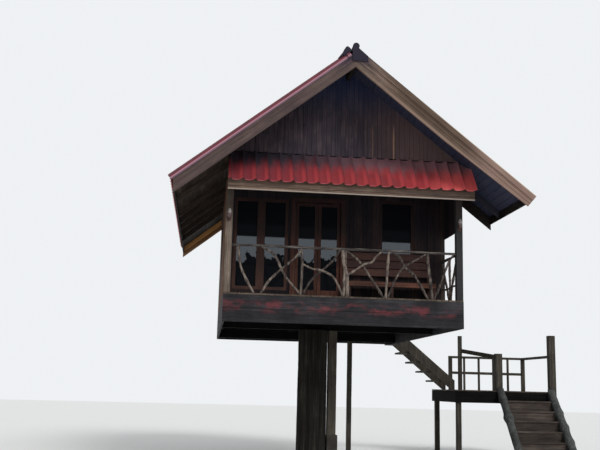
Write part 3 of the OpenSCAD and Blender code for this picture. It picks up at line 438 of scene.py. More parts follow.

# %% [markdown]
# ## Red roof paint
# The tiles were painted red. Rain washes the paint clean at the lower ends, and dirt stays near the top.
# Shade is painted into the hollow below the steep side of every rib, and a highlight onto the gentle side; on
# the pent roof the left end is painted in shade and the right end sunlit. The place between two ribs is the
# fraction of (place - first rib) / pitch, so one mask serves the whole roof.


# %% The tile finishes
def tile_paint(name, clean, worn, dirt_and_shade_colour, z_clean, z_dirty, least, ribs=None, sheen=None, sunlit_dirt=None):
    """Red paint under soiling and painted shade. dirt_and_shade = a soft rise with height + streaks down the
    slope
    + painted shade in the hollow by each rib. ribs is the axis, the place of one rib and the pitch, and sheen
    the painted highlight on the gentle side. sunlit_dirt is the soiling painted as sunlit on the right, where
    the red is painted sunlit too, and the left end's red is painted in shade."""
    finish = Finish(name)
    streaks = finish.noise((9.0, 9.0, 1.6), 5.0, 0.6)
    blotches = finish.noise(3.3, 5.0, 0.6)
    height = finish.axis(finish.place, "Z").step(z_clean, z_dirty)
    dirt_and_shade = height * 0.75 + streaks * 0.5 + blotches * 0.4 + finish.tone() * 0.12 - 0.55 + least
    red = finish.mix(blotches.step(0.3, 0.7), clean, worn)
    if sunlit_dirt:
        sun = finish.at("X").step(0.3, 4.4)
        dirt_and_shade = dirt_and_shade + 0.17 - sun * 0.2 + height * sun * 0.3
        dirt_and_shade_colour = finish.mix(finish.at("X").step(0.8, 4.8), dirt_and_shade_colour, sunlit_dirt)
        # On the pent roof the left end's red is painted in shade, the right end's painted sunlit.
        red = finish.mix(sun.step(0.0, 0.6), (120, 43, 50), red)
        red = finish.mix(finish.at("X").step(3.7, 4.4), red, (214, 92, 90))
    if ribs:
        axis, first, pitch = ribs
        share = ((finish.at(axis) - (first - 40 * pitch)) / pitch).fraction()
        # Painted shade in the hollow by each rib's steep side, and the sheen, a painted highlight, on its
        # gentle side.
        dirt_and_shade = dirt_and_shade + share.until(0.1, 0.55) * 0.22
        red = finish.mix(share.step(0.62, 0.86) * (1.0 - height) * 0.75, red, sheen)
    mask = dirt_and_shade.step(0.0, 0.8)
    finish.wear(finish.mix(mask, red, dirt_and_shade_colour), 0.5 + mask * 0.35, streaks + blotches, 0.15, gloss=0.3)
    return finish


MAIN_RIB, PENT_RIB, PENT_X, PENT_PITCH = 0.59, 0.15, 0.0034, 0.2353
main_tiles = tile_paint(
    "roof_tiles", (146, 60, 60), (118, 54, 56), (72, 48, 52), DECK_Z + 0.8, DECK_Z + 6.5, 0.12,
    ("Y", ROOF_FRONT + MAIN_RIB * ROLL_PITCH, ROLL_PITCH), (176, 84, 86),
)
pent_tiles = tile_paint(
    "pent_tiles", (146, 46, 50), (122, 41, 45), (34, 28, 38), DECK_Z + 2.22, DECK_Z + 2.74, 0.0,
    ("X", PENT_X + PENT_RIB * PENT_PITCH, PENT_PITCH), (184, 72, 76), (134, 92, 98),
)
# A painted highlight along the lower ends of the pent sheets.
weather_and_light(pent_tiles, 0.55, (214, 116, 122), ("Z", PENT_LOW + 0.02, PENT_LOW + 0.004))
ridge_paint = tile_paint("ridge_caps", (62, 46, 62), (50, 40, 56), (34, 30, 44), 0.0, 9.0, 0.3)
verge_paint = tile_paint("verge_caps", (108, 46, 54), (88, 40, 50), (64, 42, 52), 4.0, 16.0, 0.1)
verge_up = above_boarding(verge_paint)
verge_paint.repaint(verge_up.until(-0.002, 0.004) * 0.9, (112, 90, 104))
verge_paint.repaint(verge_up.near(0.014, 0.007, 0.013) * 0.75, (184, 130, 144))
# A painted highlight along the round top of the caps.
verge_paint.repaint(verge_up.step(0.094, 0.099) * 0.5, (150, 100, 108))
print("mixed four roof paints")

# %% [markdown]
# ## Glass
# The panes look almost black because the room behind them is dark. A tinted transmissive shader with a
# smooth surface gives the same: it lets a little of the room through and mirrors the bright surroundings.
# At the foot and at the head the panes are painted nearly black, a painted dark reflection: a Mix Shader lays
# a matt dark shader over the clear one there, with an edge that noise makes ragged at the foot.

# %% The glass finish
CLEAR = {"Transmission Weight": 1.0, "IOR": 1.9, "Specular Tint": (0.84, 0.92, 1.0, 1.0)}
glass = Finish("window_glass", CLEAR)
ripple = glass.noise((3.0, 3.0, 9.0), 3.0)
glass.wear(glass.mix(ripple, (26, 40, 56), (44, 62, 80)), 0.02 + 0.05 * ripple)
pane_z = glass.at("Z")
# Painted reflection: a nearly black matt shader at the panes' foot and head, with a ragged edge at the foot.
reflection_edge = glass.noise((4.5, 4.5, 3.0), 3.0, 0.6)
painted_reflection_mask = (pane_z + (reflection_edge - 0.5) * 1.1).until(0.86, 0.9) * 0.98 + pane_z.step(1.29, 1.32) * 0.98
painted_reflection = glass.tree.nodes.new("ShaderNodeBsdfPrincipled")
for key, value in (("Base Color", paint(5, 9, 15)), ("Roughness", 0.7), ("Specular IOR Level", 0.08)):
    painted_reflection.inputs[key].default_value = value
layered = glass.make("MixShader", None, {0: painted_reflection_mask})
glass.tree.links.new(glass.shader.outputs["BSDF"], layered.socket.node.inputs[1])
glass.tree.links.new(painted_reflection.outputs["BSDF"], layered.socket.node.inputs[2])
glass.tree.links.new(layered.socket, glass.tree.nodes["Material Output"].inputs["Surface"])
print("glass with a film of grime:", len(glass.tree.nodes), "nodes")

# %% [markdown]
# ## Concrete, bark and lamp glass
# The footing is cast in a rough box and stained by the soil. The pier is a whole trunk, nearly black, with
# long furrows, so its finish runs up and down like grain but much coarser. The railing's branches are peeled
# and paler. The lamps are frosted jars with a dark foot, on dark plates that lie further back.

# %% The concrete, bark and lamp finishes
concrete = Finish("footing_concrete")
pits, soil = concrete.noise(34.0, 6.0, 0.6), concrete.noise(3.0)
stained = concrete.ramp(soil * 0.7 + pits * 0.3, (0.35, (40, 37, 34)), (0.62, (78, 73, 66)))
concrete.wear(stained, 0.92, pits, 0.5, gloss=0.2)

bark = Finish("pier_bark")
furrows, patches = bark.noise((13.0, 13.0, 0.9), 6.0, 0.65), bark.noise(1.6)
BARK_STOPS = (0.36, (18, 17, 16)), (0.52, (34, 32, 29)), (0.7, (66, 62, 55))
bark.wear(bark.ramp(furrows * 0.7 + patches * 0.3, *BARK_STOPS), 0.9, furrows, 0.8, 0.02, 0.1)

branch_bark = Finish("peeled_branches")
branch_tone = branch_bark.tone()
twist = branch_bark.noise((18.0, 18.0, 7.0), 5.0, 0.6, branch_bark.moved(branch_bark.place, branch_tone))
PEELED_STOPS = (0.36, (46, 40, 38)), (0.5, (82, 73, 68)), (0.66, (128, 116, 106))
branch_bark.wear(branch_bark.ramp(twist + branch_tone * 0.2, *PEELED_STOPS), 0.8, twist, 0.5, 0.006, 0.15)

rail_bark = Finish("top_rail_bark")
worn_grain = rail_bark.noise((4.0, 30.0, 30.0), 5.0, 0.6)
RAIL_STOPS = (0.36, (44, 41, 40)), (0.52, (72, 67, 64)), (0.66, (104, 98, 92))
rail_bark.wear(rail_bark.ramp(worn_grain, *RAIL_STOPS), 0.8, worn_grain, 0.4, 0.004, 0.15)

lamp_jar = Finish("lamp_jars")
jar_dust = lamp_jar.noise(24.0)
behind = lamp_jar.at("Y").step(-0.004, 0.002)
frosted = lamp_jar.ramp(jar_dust, (0.35, (112, 106, 104)), (0.65, (156, 150, 148)))
lamp_jar.wear(lamp_jar.mix(behind, frosted, (60, 36, 32)), 0.35 + behind * 0.4, jar_dust, 0.1)
weather_and_light(lamp_jar, 0.85, (70, 42, 38), ("Z", 1.52, 1.48))
print(len(bpy.data.materials), "finishes")

# %% [markdown]
# ## Faded edge boards
# The deck's edge was once partly painted red. What is left are soft traces in the grey-brown wood, made by
# a mask that is strong only in a band along the upper plank and broken up by noise.

# %% The edge board finish
edge_timber = timber("edge_boards", (23, 23, 26), (38, 37, 40), (62, 60, 64), "x", stain=0.5)
left_over = edge_timber.noise((2.3, 2.3, 4.4), 3.0, 0.6).step(0.45, 0.66)
band = edge_timber.at("Z").near(-0.24, 0.04, 0.16)
weather_and_light(edge_timber, left_over * band * 0.6, (118, 55, 59), ("Y", 0.6, 0.02))
weather_and_light(edge_timber, 0.6, (104, 98, 98), ("Z", -0.034, -0.028))
print("edge boards:", len(edge_timber.tree.nodes), "nodes")

# %% [markdown]
# ## Building with arrays
# Boards, tiles, logs and branches are all one idea: a ring of corners carried along a path. A whole batch of
# them is one array with the axes shell, station, corner and coordinate, so numpy makes hundreds of boards at
# once. A pile collects such batches and becomes one mesh. It checks the sign of their volume, so that every
# face looks outwards even where a mirrored copy was added.


# %% Rings into closed shells
def carried(rings, band=False):
    """Faces of shells made of rings, (shells, stations, corners, 3). Neighbouring rings are joined by four
    cornered faces. An end is one face, or with band a strip of faces between corner j and corner -1 - j."""
    shells, stations, corners = rings.shape[:3]
    index = np.arange(shells * stations * corners).reshape(shells, stations, corners)
    after = np.roll(index, -1, 2)
    sides = np.stack([index[:, :-1], after[:, :-1], after[:, 1:], index[:, 1:]], -1).reshape(-1, 4)
    first, last = index[:, 0], index[:, -1]
    if not band:
        return [sides, first[:, ::-1], last]
    j = np.arange(corners // 2 - 1)
    strips = [np.stack([end[:, j], end[:, j + 1], end[:, -2 - j], end[:, -1 - j]], -1).reshape(-1, 4)
              for end in (first, last)]
    return [sides, strips[0][:, ::-1], strips[1]]


print("a board of eight corners has", sum(map(len, carried(np.zeros((1, 2, 8, 3))))), "faces")


# %% Shells into a piece
class Pile:
    """Closed shells that wait to become one piece."""

    def __init__(self):
        self.points, self.tones, self.faces, self.count = [], [], [], 0

    def add(self, rings, band=False, tone=None, dark=0.0):
        """Adds a batch of shells. Volume = sum of p0 . (p1 x p2) / 6 over the triangles: below zero, all
        turn. A shell's tone is given, or drawn by chance less what dark takes off."""
        faces, points = carried(rings, band), rings.reshape(-1, 3)
        near = points - points.mean(0)
        volume = sum((near[f[:, :1]] * np.cross(near[f[:, 1:-1]], near[f[:, 2:]])).sum() for f in faces)
        if volume < 0:
            faces = [f[:, ::-1] for f in faces]
        if tone is None:
            tone = chance.uniform(-0.5, 0.5, len(rings)) - dark
        self.points.append(points)
        self.tones.append(np.repeat(np.broadcast_to(tone, len(rings)), len(points) // len(rings)))
        self.faces += [f + self.count for f in faces]
        self.count += len(points)
        return self

    def make(self, name, finish, slot, *stands_for, sharp=35):
        """Turns the pile into an object that rides on the house and may stand for CAD nodes. A point that
        chance put a hair outside the packed model's box is brought back to its side."""
        mesh = bpy.data.meshes.new(name)
        points = np.clip(house(np.concatenate(self.points)), *(np.array(corner) for corner in cad_box))
        corners = np.concatenate([f.ravel() for f in self.faces])
        sizes = np.concatenate([np.full(len(f), f.shape[1]) for f in self.faces])
        mesh.vertices.add(self.count)
        mesh.vertices.foreach_set("co", points.ravel())
        mesh.loops.add(len(corners))
        mesh.loops.foreach_set("vertex_index", corners)
        mesh.polygons.add(len(sizes))
        mesh.polygons.foreach_set("loop_start", np.cumsum(sizes) - sizes)
        mesh.update(calc_edges=True)
        mesh.polygons.foreach_set("use_smooth", np.ones(len(sizes), bool))
        mesh.set_sharp_from_angle(angle=math.radians(sharp))
        mesh.attributes.new("tone", "FLOAT", "POINT").data.foreach_set("value", np.concatenate(self.tones))
        mesh.materials.append(finish.material)
        piece = bpy.data.objects.new(name, mesh)
        bpy.context.scene.collection.objects.link(piece)
        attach(piece, "house")
        if stands_for:
            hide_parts(*stands_for)
        print(name, len(sizes), "faces")


# %% Boards in batches
def planks(across, width, out, thick, start, end, cuts=(0.0, 0.0), edge=0.004, stations=2, wander=0.0):
    """Rings of sawn boards in (across, out, along). Each ring is a rectangle with its four corners cut off by
    edge. Along = start + share * (end - start), and both ends may be cut at a slope: + cut * place across.
    wander lets every ring drift by that much, as a board that dried does."""
    given = [np.atleast_1d(np.asarray(v, float)) for v in (across, width, out, thick, start, end, *cuts)]
    across, width, out, thick, start, end, low_cut, high_cut = (
        v[:, None, None] for v in np.broadcast_arrays(*given)
    )
    u = np.array([0, 1, 1, 1, 1, 0, 0, 0]) * width + np.array([1, -1, 0, 0, -1, 1, 0, 0]) * edge
    v = np.array([0, 0, 0, 1, 1, 1, 1, 0]) * thick + np.array([0, 0, 1, -1, 0, 0, -1, 1]) * edge
    share = np.linspace(0, 1, stations)[None, :, None]
    drift = chance.uniform(-wander, wander, (len(u), stations, 1, 2))
    along = (start + low_cut * u) * (1 - share) + (end + high_cut * u) * share
    return np.stack([across + u + drift[..., 0] + 0 * share, out + v + drift[..., 1] + 0 * share, along], -1)


def laid(rings, across, out, along, origin=(0, 0, 0)):
    """Turns (across, out, along) into house measures with three directions and an origin."""
    return rings @ np.stack([across, out, along]) + np.asarray(origin, float)


def ripped(low, high, width, gap=0.004, spread=0.18):
    """Places and widths of the boards that fill low to high: equal shares moved by chance, less a gap."""
    count = max(1, round((high - low) / width))
    lines = np.linspace(low, high, count + 1)
    lines[1:-1] += chance.uniform(-spread, spread, count - 1) * (high - low) / count
    return lines[:-1] + gap / 2, np.diff(lines) - gap


def box(low, high, along=2, edge=0.006, stations=2, wander=0.0):
    """One square timber between two corners, its length along the given axis."""
    low, high = np.asarray(low, float), np.asarray(high, float)
    a, b = (along + 1) % 3, (along + 2) % 3
    rings = planks(low[a], high[a] - low[a], low[b], high[b] - low[b], low[along], high[along],
                   edge=edge, stations=stations, wander=wander)
    return laid(rings, *np.eye(3)[[a, b, along]])


def prism(outline, low, high, across, out, along):
    """An outline of any convex shape, carried straight from low to high."""
    outline = np.asarray(outline, float)
    ends = np.array([low, high], float)[:, None, None]
    rings = np.concatenate([outline + 0 * ends, ends + 0 * outline[:, :1]], -1)
    return laid(rings[None], across, out, along)


print("a wedge of three corners:", prism([[0, 0], [1, 0], [0, 1]], 0, 1, X, Y, Z).shape)

# %% [markdown]
# ## The deck and its edges
# Two planks one above the other close the deck's edge on each side, and the deck boards run from front to
# back. Each board is its own shell with broken corners, because the dark lines between boards are what makes
# a timber wall read as timber.

# %% Deck boards and edge planks
left, wide = ripped(0, WIDTH, 0.14, 0.006)
joint = chance.choice([2.02, 3.25, 4.45], len(left))
deck = Pile()
for start, end in ((0, joint - 0.002), (joint + 0.002, DEPTH)):
    deck.add(laid(planks(left, wide, -0.03, 0.03, start, end, stations=4, wander=0.0004), X, Z, Y))
deck.make("deck_boards", deck_timber, "deck_boards", "floor_boards")

EDGE_Z, EDGE_H = np.array([-0.54, -0.286]), np.array([0.253, 0.256])
EDGE_T, SAWN = 0.04, {"edge": 0.006, "stations": 16, "wander": 0.0012}
edges = Pile().add(laid(planks(EDGE_Z, EDGE_H, 0, EDGE_T, 0, WIDTH, **SAWN), Z, Y, X), tone=[-0.15, 0.1])
edges.make("front_edge_planks", edge_timber, "edge_boards", "deck_edge_front")
edges = Pile()
for x in (0, WIDTH - EDGE_T):
    rings = planks(EDGE_Z, EDGE_H, x, EDGE_T, EDGE_T + 0.001, DEPTH - EDGE_T - 0.001, **SAWN)
    edges.add(laid(rings, Z, X, Y))
edges.add(laid(planks(EDGE_Z, EDGE_H, DEPTH - EDGE_T, EDGE_T - 0.001, 0, WIDTH, **SAWN), Z, Y, X))
edges.make("side_edge_planks", edge_timber, "edge_boards", "deck_edge_sides")

# %% [markdown]
# ## Boarded walls
# The walls are upright boards on both faces with posts between. A board that meets a window is cut into one
# below it and one above, and in the gables the tops follow the roof. Break lines at the sides of every
# opening make that easy: between two of them all boards have the same foot and the same head.

# %% Upright boards between break lines
RIDGE_SLOT, SLOT_HALF = float(under_boards(RIDGE_X)) - 0.2, 0.031
DOOR_X, DOOR_W, DOOR_H = 1.42, 1.015, 2.1
BACK_DOOR_X, BACK_DOOR_W, BACK_DOOR_H = 3.35, 0.8, 2.05
SKIN = 0.024


def upright(pile, faces, spans, width=0.14, turn=(X, Y), gap=0.0025, wander=0.0008):
    """Boards for each span (low, high, foot, top), where top is a height or a function of the place across.
    faces lists (out, thick) for each layer. The cut of a board's upper end = rise of top over its width."""
    for low, high, foot, top in spans:
        for out, thick in faces:
            left, wide = ripped(low, high, width, gap)
            head = top(left) if callable(top) else np.full(len(left), top)
            over = top(left + wide) if callable(top) else head
            tone = chance.uniform(-0.5, 0.5, len(left))
            cuts = (0, (over - head) / wide)
            rings = planks(left, wide, out, thick, foot, head, cuts, stations=6, wander=wander)
            pile.add(laid(rings, turn[0], turn[1], Z), tone=tone)
    return pile


def round_opening(low, high, start, width, sill, head):
    """Spans of a room wall from low to high with one opening in it."""
    return [(low, start, 0, PLATE_Z), (start, start + width, 0, sill), (start, start + width, head, PLATE_Z),
            (start + width, high, 0, PLATE_Z)]


def gable_spans(foot):
    """Spans of a gable up to the roof boarding, with the slot for the ridge beam."""
    slot_low, slot_high = RIDGE_X - SLOT_HALF, RIDGE_X + SLOT_HALF

    def top(x):
        return under_boards(x) - 0.0006

    return [(WALL_T, slot_low, foot, top), (slot_low, slot_high, foot, RIDGE_SLOT),
            (slot_high, WIDTH - WALL_T, foot, top)]


print("the ridge slot's foot is", round(RIDGE_SLOT, 3), "above the deck")


# %% Front, rear and side walls
def boarded(node, at, spans, name=None, turn=(X, Y), stud=None):
    """A wall with boards on both faces, the first at the given place, that stands for a CAD node."""
    wall = upright(Pile(), [(at, SKIN), (at + WALL_T - SKIN, SKIN)], spans, turn=turn)
    if stud:
        wall.add(box(*stud))
    wall.make((name or node) + "_boards", wall_timber, "red_brown_boards", node)


FRONT, REAR = ROOM_FRONT, ROOM_BACK - WALL_T
LEFT_WINDOW, RIGHT_WINDOW = (0.19, 1.115, 0.215, 2.1), (3.205, 0.74, 1.0, 2.18)
REAR_WINDOW, SIDE_WINDOW = (1.1, 0.9, 1.0, 2.0), (3.3, 0.9, 1.0, 2.0)
boarded("front_wall_left", FRONT, round_opening(WALL_T, DOOR_X, *LEFT_WINDOW))
boarded("front_wall_right", FRONT, round_opening(DOOR_X + DOOR_W, WIDTH - WALL_T, *RIGHT_WINDOW))
over_door = [(DOOR_X, DOOR_X + DOOR_W, DOOR_H, PLATE_Z - 0.001)]
boarded("front_wall_over_door", FRONT, gable_spans(PLATE_Z) + over_door, "front_gable")
boarded("rear_wall_left", REAR, round_opening(WALL_T, BACK_DOOR_X, *REAR_WINDOW))
boarded("rear_wall_right", REAR, [(BACK_DOOR_X + BACK_DOOR_W, WIDTH - WALL_T, 0, PLATE_Z)],
        stud=((4.15, 6.124, 0), (4.21, 6.176, PLATE_Z)))
over_door = [(BACK_DOOR_X, BACK_DOOR_X + BACK_DOOR_W, BACK_DOOR_H, PLATE_Z - 0.001)]
boarded("rear_wall_over_door", REAR, gable_spans(PLATE_Z) + over_door, "rear_gable")
for node, x in (("left_wall", 0.0), ("right_wall", WIDTH - WALL_T)):
    boarded(node, x, round_opening(FRONT + WALL_T, REAR, *SIDE_WINDOW), turn=(Y, X))
print("boarded eight walls, each with two skins of", SKIN)

# %% Corner posts, the gable over the veranda and the panel at its end
corner_posts = Pile()
for x in (0.0, WIDTH - WALL_T):
    for y in (FRONT, REAR):
        top = (x + WALL_T, y + WALL_T, PLATE_Z)
        corner_posts.add(box((x, y, 0), top, edge=0.008, stations=6, wander=0.001))
corner_posts.make("room_corner_posts", pale_posts, "pale_timber")

GABLE_FOOT, PANEL_FOOT, PANEL_T = 2.748, 1.4, 0.025
gable = upright(Pile(), [(GABLE_Y + 0.004, 0.034)], gable_spans(GABLE_FOOT), 0.095, gap=0.0018, wander=0.0012)
gable.make("gable_panel_boards", gable_timber, "red_brown_boards", "gable_panel")
# The batten wears the near-black underfloor finish: painted shade in the recess at the gable's foot.
batten = planks(2.602, 0.17, GABLE_Y + 0.014, 0.022, 0.12, WIDTH - 0.12,
                edge=0.003, stations=9, wander=0.0008)
Pile().add(laid(batten, Z, Y, X)).make("gable_foot_batten", under_cross, "dark_timber")
panel_span = (0.147, ROOM_FRONT, PANEL_FOOT, PLATE_Z)
panel = upright(Pile(), [(WIDTH - PANEL_T, PANEL_T)], [panel_span], turn=(Y, X))
panel.make("veranda_side_panel", wall_timber, "red_brown_boards", "veranda_side_boards")

# %% [markdown]
# ## Roof boarding
# From below the roof shows its boarding, laid along the ridge on the rafters. On a slope it helps to turn
# the axes: up the slope, out of the roof, and along the ridge. The right side mirrors the left one.


# %% Boards on the slopes
def slope_axes(side):
    """Directions up the slope and out of the roof, for the left side at -1 and the right side at 1."""
    return (np.array([-side * math.cos(PITCH), 0, math.sin(PITCH)]),
            np.array([side * math.sin(PITCH), 0, math.cos(PITCH)]))


def eave_point(side, out, height):
    """Where a sheet starts at the eave: that far outside the wall, at height(x)."""
    x = -out if side < 0 else WIDTH + out
    return np.array([x, 0.0, float(height(-out))])


def boarding(pile, side, out, y0, y1):
    """Boards side by side up the slope. Each row is cut over a rafter at a place that changes by row."""
    rise, normal = slope_axes(side)
    run = (RIDGE_X + out) / math.cos(PITCH)
    up_slope, wide = ripped(0.006, run - 0.016, 0.15, 0.003, 0.1)
    cut = y0 + (y1 - y0) * chance.choice([0.31, 0.46, 0.68], len(up_slope))
    for start, end in ((y0, cut - 0.001), (cut + 0.001, y1)):
        rings = planks(up_slope, wide, 0.0004, BOARDING - 0.0008, start, end, edge=0.003, stations=5)
        pile.add(laid(rings, rise, normal, Y, eave_point(side, out, under_boards)))


boards = Pile()
boarding(boards, -1, EAVE, ROOF_FRONT + BARGE, ROOF_BACK - BARGE)
boarding(boards, 1, EAVE, ROOF_FRONT + BARGE, WIDE_END - BARGE)
boarding(boards, 1, SHORT_EAVE, WIDE_END - BARGE + 0.001, ROOF_BACK - BARGE)
boards.make("roof_boarding", soffit_timber, "soffit_boards", "roof_boards")

# %% [markdown]
# ## Tile sheets
# The red roof is made of pressed sheets, each three troughs wide. A course of sheets lies with its lower
# edge on the course below, which gives the roof its steps. Between two round troughs stands a narrow rib,
# steep on one side. The sheet is that wave with a thickness, carried up the slope as one closed shell. Its
# columns of points are moved onto the ribs' tops, because a grid that misses them makes the ribs uneven.

# %% Sheets of troughs and ribs
SHEET, PER_SHEET = 0.0066, 3


def rib_height(share, rib, tall):
    """Height across the sheet, with d = pitches from the rib's top. On the gentle side, where d < 0, it is
    tall * (1 + d / 0.5)^2.2, and tall * (1 - d / 0.3)^2.2 on the steep one. Both are 0 in the trough."""
    d = np.mod(share - rib + 0.62, 1.0) - 0.62
    reach = np.clip(np.where(d < 0, 1 + d / 0.5, 1 - d / 0.3), 0.0, 1.0)
    return tall * reach**2.2


def sheet_lines(rolls, rib, columns=14):
    """Rib counts at which each sheet has its columns, (sheets, columns). Sheets meet on a steep side."""
    starts = np.arange(0, rolls, PER_SHEET)
    low = starts + np.where(starts > 0, rib + 0.156, 0.0)
    high = np.where(starts + PER_SHEET < rolls, starts + PER_SHEET + rib + 0.144, rolls)
    step = (high - low)[:, None] / (PER_SHEET * columns)
    lines = low[:, None] + step * np.arange(PER_SHEET * columns + 1)
    top = np.round(lines - rib) + rib
    return np.where(np.abs(top - lines) < step / 2, top, lines)


def sheet_rings(lines, rib, tall, pitch, across0, starts, ends, lift=0.0, stations=5, ragged=0.0):
    """Rings of sheets in (across, out, along). Under side = rib height + lift, which falls to 0 at the upper
    edge. Upper side = under side + SHEET. starts may differ by column. Chance moves a sheet by ragged."""
    share = np.linspace(0, 1, stations)[None, :, None]
    lines = lines[:, None, :]
    slip = chance.uniform(-ragged, ragged, (len(lines), 1, 1))
    along = (starts + slip) * (1 - share) + ends * share + 0 * lines
    under = rib_height(lines, rib, tall) + lift * (1 - share)
    across = across0 + lines * pitch + 0 * share
    upper = np.stack([across, under + SHEET, along], -1)
    lower = np.stack([across, under, along], -1)
    return np.concatenate([upper, lower[:, :, ::-1]], 2)


print("half way up a rib's gentle side:", round(float(rib_height(0.75, 1.0, 1.0)), 2), "of its height")

# %% The main roof's courses
LAP, COURSE, MAIN_TALL = 0.07, 1.127, 0.05


def tiled_side(pile, side, out, y0, rolls, courses):
    """Courses measured from the ridge down. Each reaches LAP over the one below it and rests on it there."""
    rise, normal = slope_axes(side)
    run = (RIDGE_X + out + DRIP) / math.cos(PITCH) - 0.02
    origin = eave_point(side, out + DRIP, under_tiles) + 0.0004 * normal
    for top in run - COURSE * np.arange(courses):
        low = max(top - COURSE - LAP, 0.0) if top - COURSE > 0.05 else 0.0
        rings = sheet_rings(sheet_lines(rolls, MAIN_RIB), MAIN_RIB, MAIN_TALL, ROLL_PITCH, y0, low, top,
                            SHEET + 0.0004 if low > 0 else 0.0, ragged=0.006 if low > 0 else 0.0)
        pile.add(laid(rings, Y, normal, rise, origin), band=True)
    return pile


left_tiles = tiled_side(Pile(), -1, EAVE, ROOF_FRONT, ROLLS, 4)
left_tiles.make("roof_sheets_left", main_tiles, "roof_tile", "roof_tiles_left")
right_tiles = tiled_side(Pile(), 1, EAVE, ROOF_FRONT, WIDE_ROLLS, 4)
tiled_side(right_tiles, 1, SHORT_EAVE, WIDE_END, ROLLS - WIDE_ROLLS, 3)
right_tiles.make("roof_sheets_right", main_tiles, "roof_tile", "roof_tiles_right")

# %% The pent roof's sheets
# A rib that would run into the roof boarding above starts that much lower down, in every column by itself.
PENT_RIBS, PENT_TALL = 20.15, 0.057
pent_deep = PENT_OUT + GABLE_Y
pent_run = math.hypot(PENT_TOP - PENT_LOW, pent_deep)
fall = np.array([0, -pent_deep, PENT_LOW - PENT_TOP]) / pent_run
pent_out = np.array([0, fall[2], -fall[1]])
pent_rows = sheet_lines(PENT_RIBS, PENT_RIB, 18)
headroom = under_boards(PENT_X + pent_rows * PENT_PITCH) - 0.006 - (PENT_TOP + 0.0004)
pent_height = rib_height(pent_rows, PENT_RIB, PENT_TALL)
tucked = np.maximum(0.0, ((pent_height + 2 * SHEET) * pent_out[2] - headroom) / -fall[2])
rings = sheet_rings(pent_rows, PENT_RIB, PENT_TALL, PENT_PITCH, PENT_X, tucked[:, None, :], pent_run,
                    stations=9)
pent = Pile().add(laid(rings, X, pent_out, fall, (0, GABLE_Y, PENT_TOP + 0.0004)), band=True)
pent.make("pent_roof_sheets", pent_tiles, "roof_tile", "pent_roof_tiles")

# %% [markdown]
# ## Ridge caps
# The ridge is covered by short caps, each a round roll between two wings that lie on the ribs. Every cap's
# lower end is a little wider and hides the joint. One outline, carried along the ridge and grown at those
# ends, gives them all. A plate hangs over the point of the bargeboards in front.

# %% The caps along the ridge
ROLL_R, ROLL_LIFT, WING, CAP_T = 0.06, 0.015, 0.23, 0.016
RIB_CLEAR, VERGE_OUT, PLATE_LEFT = 0.064, 0.0314, 0.07
peak = float(under_tiles(RIDGE_X))
drop = WING * SLOPE
wing_z = peak + RIB_CLEAR / math.cos(PITCH) + 0.0008
wing_top = wing_z + CAP_T / math.cos(PITCH)


def cap_outline(grow):
    """Wings along the slope, and an arc of radius ROLL_R + grow round the roll's middle, as (x, z)."""
    a = np.linspace(math.radians(-38), math.radians(218), 22)
    arc = np.stack([np.cos(a), np.sin(a)], 1) * (ROLL_R + grow) + [RIDGE_X, wing_top + ROLL_LIFT]
    wing = [[RIDGE_X - WING, wing_top + grow - drop], [RIDGE_X - WING, wing_z - drop], [RIDGE_X, wing_z],
            [RIDGE_X + WING, wing_z - drop], [RIDGE_X + WING, wing_top + grow - drop]]
    return np.concatenate([arc, wing])


cap_low = np.linspace(ROOF_FRONT - VERGE_OUT + 0.002, ROOF_BACK, 15)
cap_y = np.stack([cap_low[:-1] + 0.001, cap_low[:-1] + 0.055, cap_low[:-1] + 0.056, cap_low[1:]], 1).ravel()
grown = np.tile([0.004, 0.0035, 0.0, -0.001], len(cap_low) - 1)
flat = np.stack([cap_outline(g) for g in grown])
rings = np.stack([flat[..., 0], np.repeat(cap_y[:, None], flat.shape[1], 1), flat[..., 1]], -1)
caps = Pile().add(rings[None], tone=0.0)
plate = [[RIDGE_X - PLATE_LEFT, peak - 0.17], [RIDGE_X + WING, peak - drop - 0.006],
         [RIDGE_X + WING, wing_top - drop], [RIDGE_X, wing_top],
         [RIDGE_X - PLATE_LEFT, wing_top - PLATE_LEFT * SLOPE]]
caps.add(prism(plate, ROOF_FRONT - VERGE_OUT, ROOF_FRONT - VERGE_OUT + CAP_T, X, Z, Y), tone=-0.3)
caps.make("ridge_cap_row", ridge_paint, "ridge_tile", "ridge_caps")

# %% [markdown]
# ## The hood at the top of the left verge
# A closed hood covers the last verge cap where it meets the ridge. Its arch grows towards the ridge, so from
# below it stands up beside the ridge roll as a second, smaller knob. Seven arches give its shape.

# %% The hood beside the ridge
HOOD_FOOT = 0.084
hood_t = np.array([-0.34, -0.28, -0.2, -0.13, -0.085, -0.055, -0.046])[:, None]
hood_top = np.array([0.112, 0.128, 0.152, 0.185, 0.202, 0.202, 0.186])[:, None]
hood_half = np.array([0.076, 0.08, 0.084, 0.086, 0.086, 0.082, 0.07])[:, None]
a = np.linspace(0, math.pi, 15)
hood_y = ROOF_FRONT + 0.048 + hood_half * np.cos(a)
hood_out = HOOD_FOOT + (hood_top - HOOD_FOOT) * np.sin(a) ** 0.8
hood = np.stack([hood_y, hood_out, hood_t + 0 * hood_y], -1)[None]
rise, normal = slope_axes(-1)
hood = Pile().add(laid(hood, Y, normal, rise, (RIDGE_X, 0, peak)), tone=0.0)
hood.make("verge_end_hood", ridge_paint, "ridge_tile", sharp=50)

# %% [markdown]
# ## Crooked branches
# The railing is filled with peeled branches, no two alike. Each is a smooth curve through a few points, with
# a round section whose radius swells at knots. A Catmull-Rom curve passes through its points, so the points
# can be those that the CAD source uses, given as shares of the bay's width and of the rail's height.


